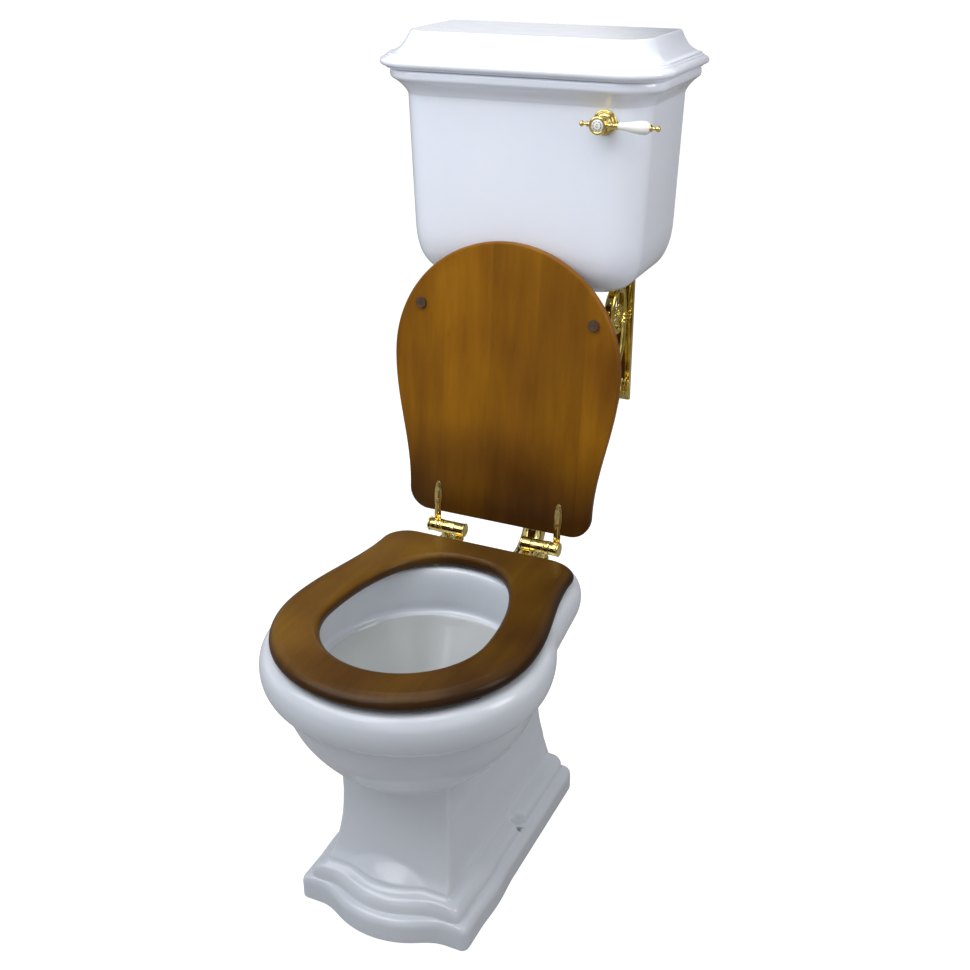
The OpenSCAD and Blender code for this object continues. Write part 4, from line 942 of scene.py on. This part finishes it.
def make_bracket(s, node):
    """A wall bracket: plate, top rail, leaf scroll, curved strut and shell foot; s is its side."""
    low, high = corner_mm(node)
    x, wall, base, top = s * BRACKET_X, WALL_Y, low[2], high[2]
    # middle of the leaf scroll
    cy, cz, parts = 322.0, 752.0, []
    plate = block("plate", (x - 14, wall - 6, base), (x + 14, wall, top), gold, 1.6)
    holes = [cylinder("hole", 3, (x, wall - 20, z), (x, wall + 2, z), gold, 32, 0.1) for z in SCREW_Z]
    boolean(plate, joined("holes", holes), "DIFFERENCE")
    parts.append(plate)
    parts.append(block("rail", (x - 13, low[1], top - 5), (x + 13, wall - 2, top), cast_gold, 1.5))
    # upper scroll: a ring that starts under the rail and ends in the strut
    spin = [(cy + 30 * math.cos(t), cz + 33 * math.sin(t)) for t in np.radians(np.linspace(60, 330, 22))]
    parts.append(ribbon("scroll", [(wall - 8, top - 5), (352, 792)] + spin, x, [8, 8, 8, 7, 7],
                        [5, 6, 6.5, 6, 5.5], cast_gold))
    strut = [(347, 780), (351, 762), (351, 742), (349, 722), (343, 700), (334, 680), (324, 662),
             (316, 645), (314, 629), (320, 616), (331, 609), (343, 611), (349, 620)]
    parts.append(ribbon("strut", strut, x, [6, 8, 10, 9, 8, 6], [4, 6, 8.5, 8, 6.5, 5, 4], cast_gold))
    for z, r in ((739, 10.2), (733, 11.4), (727, 10.2)):
        y = 350 - (740 - z) * 0.1
        collar = [(0, r - 2), (0.6, r - 0.6), (1.8, r), (3, r - 0.6), (3.6, r - 2)]
        parts.append(lathe("collar", collar, (x, y + 0.4, z + 1.8), (0, -0.15, -1), cast_gold, 40, 40))
    for side in (-1, 1):
        parts.append(rosette("rosette", (x + side * 4, cy - 3, cz - 4), 17, side * 6, 8, cast_gold))
        parts.append(rosette("shell", (x + side * 4, 331, 603), 12, side * 4, 6, cast_gold, 64))
    parts.append(block("web", (x - 4, cy - 24, cz - 8), (x + 4, cy + 24, cz), cast_gold, 1.5))
    for k in range(5):
        t = math.radians(150 + 22 * k)
        bead = [(0, 0.4), (0.4, 2.2), (1.6, 3.6), (3, 4), (4.4, 3.6), (5.6, 2.2), (6, 0.4)]
        parts.append(lathe("bead", bead, (x - 3, cy + 33 * math.cos(t), cz + 36 * math.sin(t)), (1, 0, 0),
                           cast_gold, 24, 60))
    for k in range(-2, 3):
        # flutes of the shell at the plate's foot
        foot = [(wall - 6, base + 4), (wall - 10, base + 12), (wall - 11, base + 22),
                (wall - 8, base + 32), (wall - 5.5, base + 36)]
        parts.append(ribbon("flute", foot, x + k * 5.2, [2.8, 2.9, 2.5, 1.4], [1.5, 3, 3, 2, 1],
                            cast_gold, 12))
    bracket = joined("bracket_cast_" + ("left" if s < 0 else "right"), parts)
    take(bracket, "frame", node)


# ---------------------------------------------------------------- camera, floor and light

# the place is in metres, the turns in degrees and the lens in millimetres
CAMERA_PLACE = (0.72104, -1.46479, 1.34488)
CAMERA_YAW, CAMERA_PITCH, CAMERA_ROLL = 25.08, 25.31, -0.31
CAMERA_LENS = 47.24


def make_camera():
    data = bpy.data.cameras.new("camera")
    data.lens = CAMERA_LENS
    data.sensor_width = 36.0
    camera = bpy.data.objects.new("camera", data)
    yaw, tilt, roll = (math.radians(a) for a in (CAMERA_YAW, 90 - CAMERA_PITCH, CAMERA_ROLL))
    turn_to = Matrix.Rotation(yaw, 4, "Z") @ Matrix.Rotation(tilt, 4, "X") @ Matrix.Rotation(roll, 4, "Z")
    camera.matrix_world = Matrix.Translation(CAMERA_PLACE) @ turn_to
    bpy.context.scene.collection.objects.link(camera)
    bpy.context.scene.camera = camera


def area_light(name, place, target, size, power, colour=(1, 1, 1)):
    """A soft rectangular light, not seen by the camera."""
    data = bpy.data.lights.new(name, "AREA")
    data.shape = "RECTANGLE"
    data.size, data.size_y = size
    data.energy = power
    data.color = colour
    light = bpy.data.objects.new(name, data)
    light.location = place
    light.visible_camera = False
    light.rotation_euler = (Vector(target) - Vector(place)).to_track_quat("-Z", "Y").to_euler()
    bpy.context.scene.collection.objects.link(light)


def make_world():
    """White to the camera, and a soft grey room with a dark band for what is reflected."""
    world = bpy.data.worlds.new("world")
    world.use_nodes = True
    bpy.context.scene.world = world
    tree = world.node_tree
    tree.nodes.clear()
    out = tree.nodes.new("ShaderNodeOutputWorld")
    seen = tree.nodes.new("ShaderNodeBackground")
    seen.inputs["Color"].default_value = (1, 1, 1, 1)
    seen.inputs["Strength"].default_value = 1.0
    room = tree.nodes.new("ShaderNodeBackground")
    room.inputs["Strength"].default_value = 0.48
    coordinates = tree.nodes.new("ShaderNodeTexCoord")
    split = tree.nodes.new("ShaderNodeSeparateXYZ")
    ramp = tree.nodes.new("ShaderNodeValToRGB")
    stops = [(0.0, (0.40, 0.40, 0.40)), (0.42, (0.50, 0.50, 0.50)), (0.52, (0.88, 0.89, 0.90)),
             (1.0, (1.0, 1.0, 1.0))]
    while len(ramp.color_ramp.elements) < len(stops):
        ramp.color_ramp.elements.new(0.5)
    for element, (position, colour) in zip(ramp.color_ramp.elements, stops):
        element.position = position
        element.color = (*colour, 1)
    half = tree.nodes.new("ShaderNodeMath")
    half.operation = "MULTIPLY_ADD"
    half.inputs[1].default_value = 0.5
    half.inputs[2].default_value = 0.5
    path = tree.nodes.new("ShaderNodeLightPath")
    mix = tree.nodes.new("ShaderNodeMixShader")
    # dark patches that only mirror-like surfaces pick up, like furniture in the room
    patches = tree.nodes.new("ShaderNodeTexNoise")
    patches.inputs["Scale"].default_value = 2.4
    patches.inputs["Detail"].default_value = 1.0
    shade = tree.nodes.new("ShaderNodeMapRange")
    for key, value in (("From Min", 0.46), ("From Max", 0.56), ("To Min", 0.03), ("To Max", 1.5)):
        shade.inputs[key].default_value = value
    mirror = tree.nodes.new("ShaderNodeMix")
    mirror.data_type = "RGBA"
    mirror.blend_type = "MULTIPLY"
    for start, end in (
            (coordinates.outputs["Generated"], patches.inputs["Vector"]),
            (patches.outputs["Fac"], shade.inputs["Value"]),
            (coordinates.outputs["Generated"], split.inputs[0]),
            (split.outputs["Z"], half.inputs[0]),
            (half.outputs[0], ramp.inputs["Fac"]),
            (ramp.outputs["Color"], mirror.inputs[6]),
            (shade.outputs[0], mirror.inputs[7]),
            (path.outputs["Is Glossy Ray"], mirror.inputs[0]),
            (mirror.outputs[2], room.inputs["Color"]),
            (path.outputs["Is Camera Ray"], mix.inputs[0]),
            (room.outputs[0], mix.inputs[1]),
            (seen.outputs[0], mix.inputs[2]),
            (mix.outputs[0], out.inputs["Surface"])):
        tree.links.new(start, end)


def make_floor():
    """A pale floor that the camera sees as white but that throws little light back up."""
    s = Shader("floor_pale")
    split = s.node("ShaderNodeSeparateXYZ", {"Vector": s.place}).outputs
    # no glow on the floor that the foot covers, in metres
    beside = s.math("GREATER_THAN", s.math("ABSOLUTE", split[0]), 0.128)
    beyond = s.math("GREATER_THAN", s.math("ABSOLUTE", s.math("ADD", split[1], 0.08)), 0.18)
    open_floor = s.math("MULTIPLY", s.math("MAXIMUM", beside, beyond),
                        s.node("ShaderNodeLightPath").outputs[0])
    s.set(Base_Color=s.ramp(s.noise(0.6), [(0.3, (0.42, 0.42, 0.42)), (0.7, (0.45, 0.45, 0.45))]),
          Roughness=0.9, Emission_Color=(1, 1, 1, 1),
          Emission_Strength=s.math("MULTIPLY", open_floor, 0.85))
    size = 30.0 / MM
    floor = add_mesh("floor", [(-size, -size, -0.5), (size, -size, -0.5), (size, size, -0.5),
                               (-size, size, -0.5)],
                     [(0, 1, 2, 3)], s.material)


def make_light():
    make_world()
    area_light("key", (-0.7, -0.95, 1.95), (0, 0.15, 0.9), (1.8, 1.2), 20, (0.935, 0.96, 1.0))
    area_light("top", (0.1, -0.55, 2.3), (0, 0.1, 0.6), (1.4, 1.0), 8, (0.97, 0.98, 1.0))
    area_light("cover", (-0.1, 0.15, 1.85), (0, 0.22, 1.1), (1.0, 0.6), 3.0, (0.98, 0.99, 1.0))
    area_light("side", (1.2, 0.1, 1.4), (0.18, 0.27, 0.97), (0.5, 0.7), 5.0, (1.0, 0.99, 1.0))


bpy.context.scene.view_settings.view_transform = "Standard"
make_camera()
make_light()
make_floor()
dress_all()
make_tank()
make_cover()
make_seat()
make_lid()
make_pan()
make_hinges()
make_lever()
make_bracket(-1, "bracket_left")
make_bracket(1, "bracket_right")
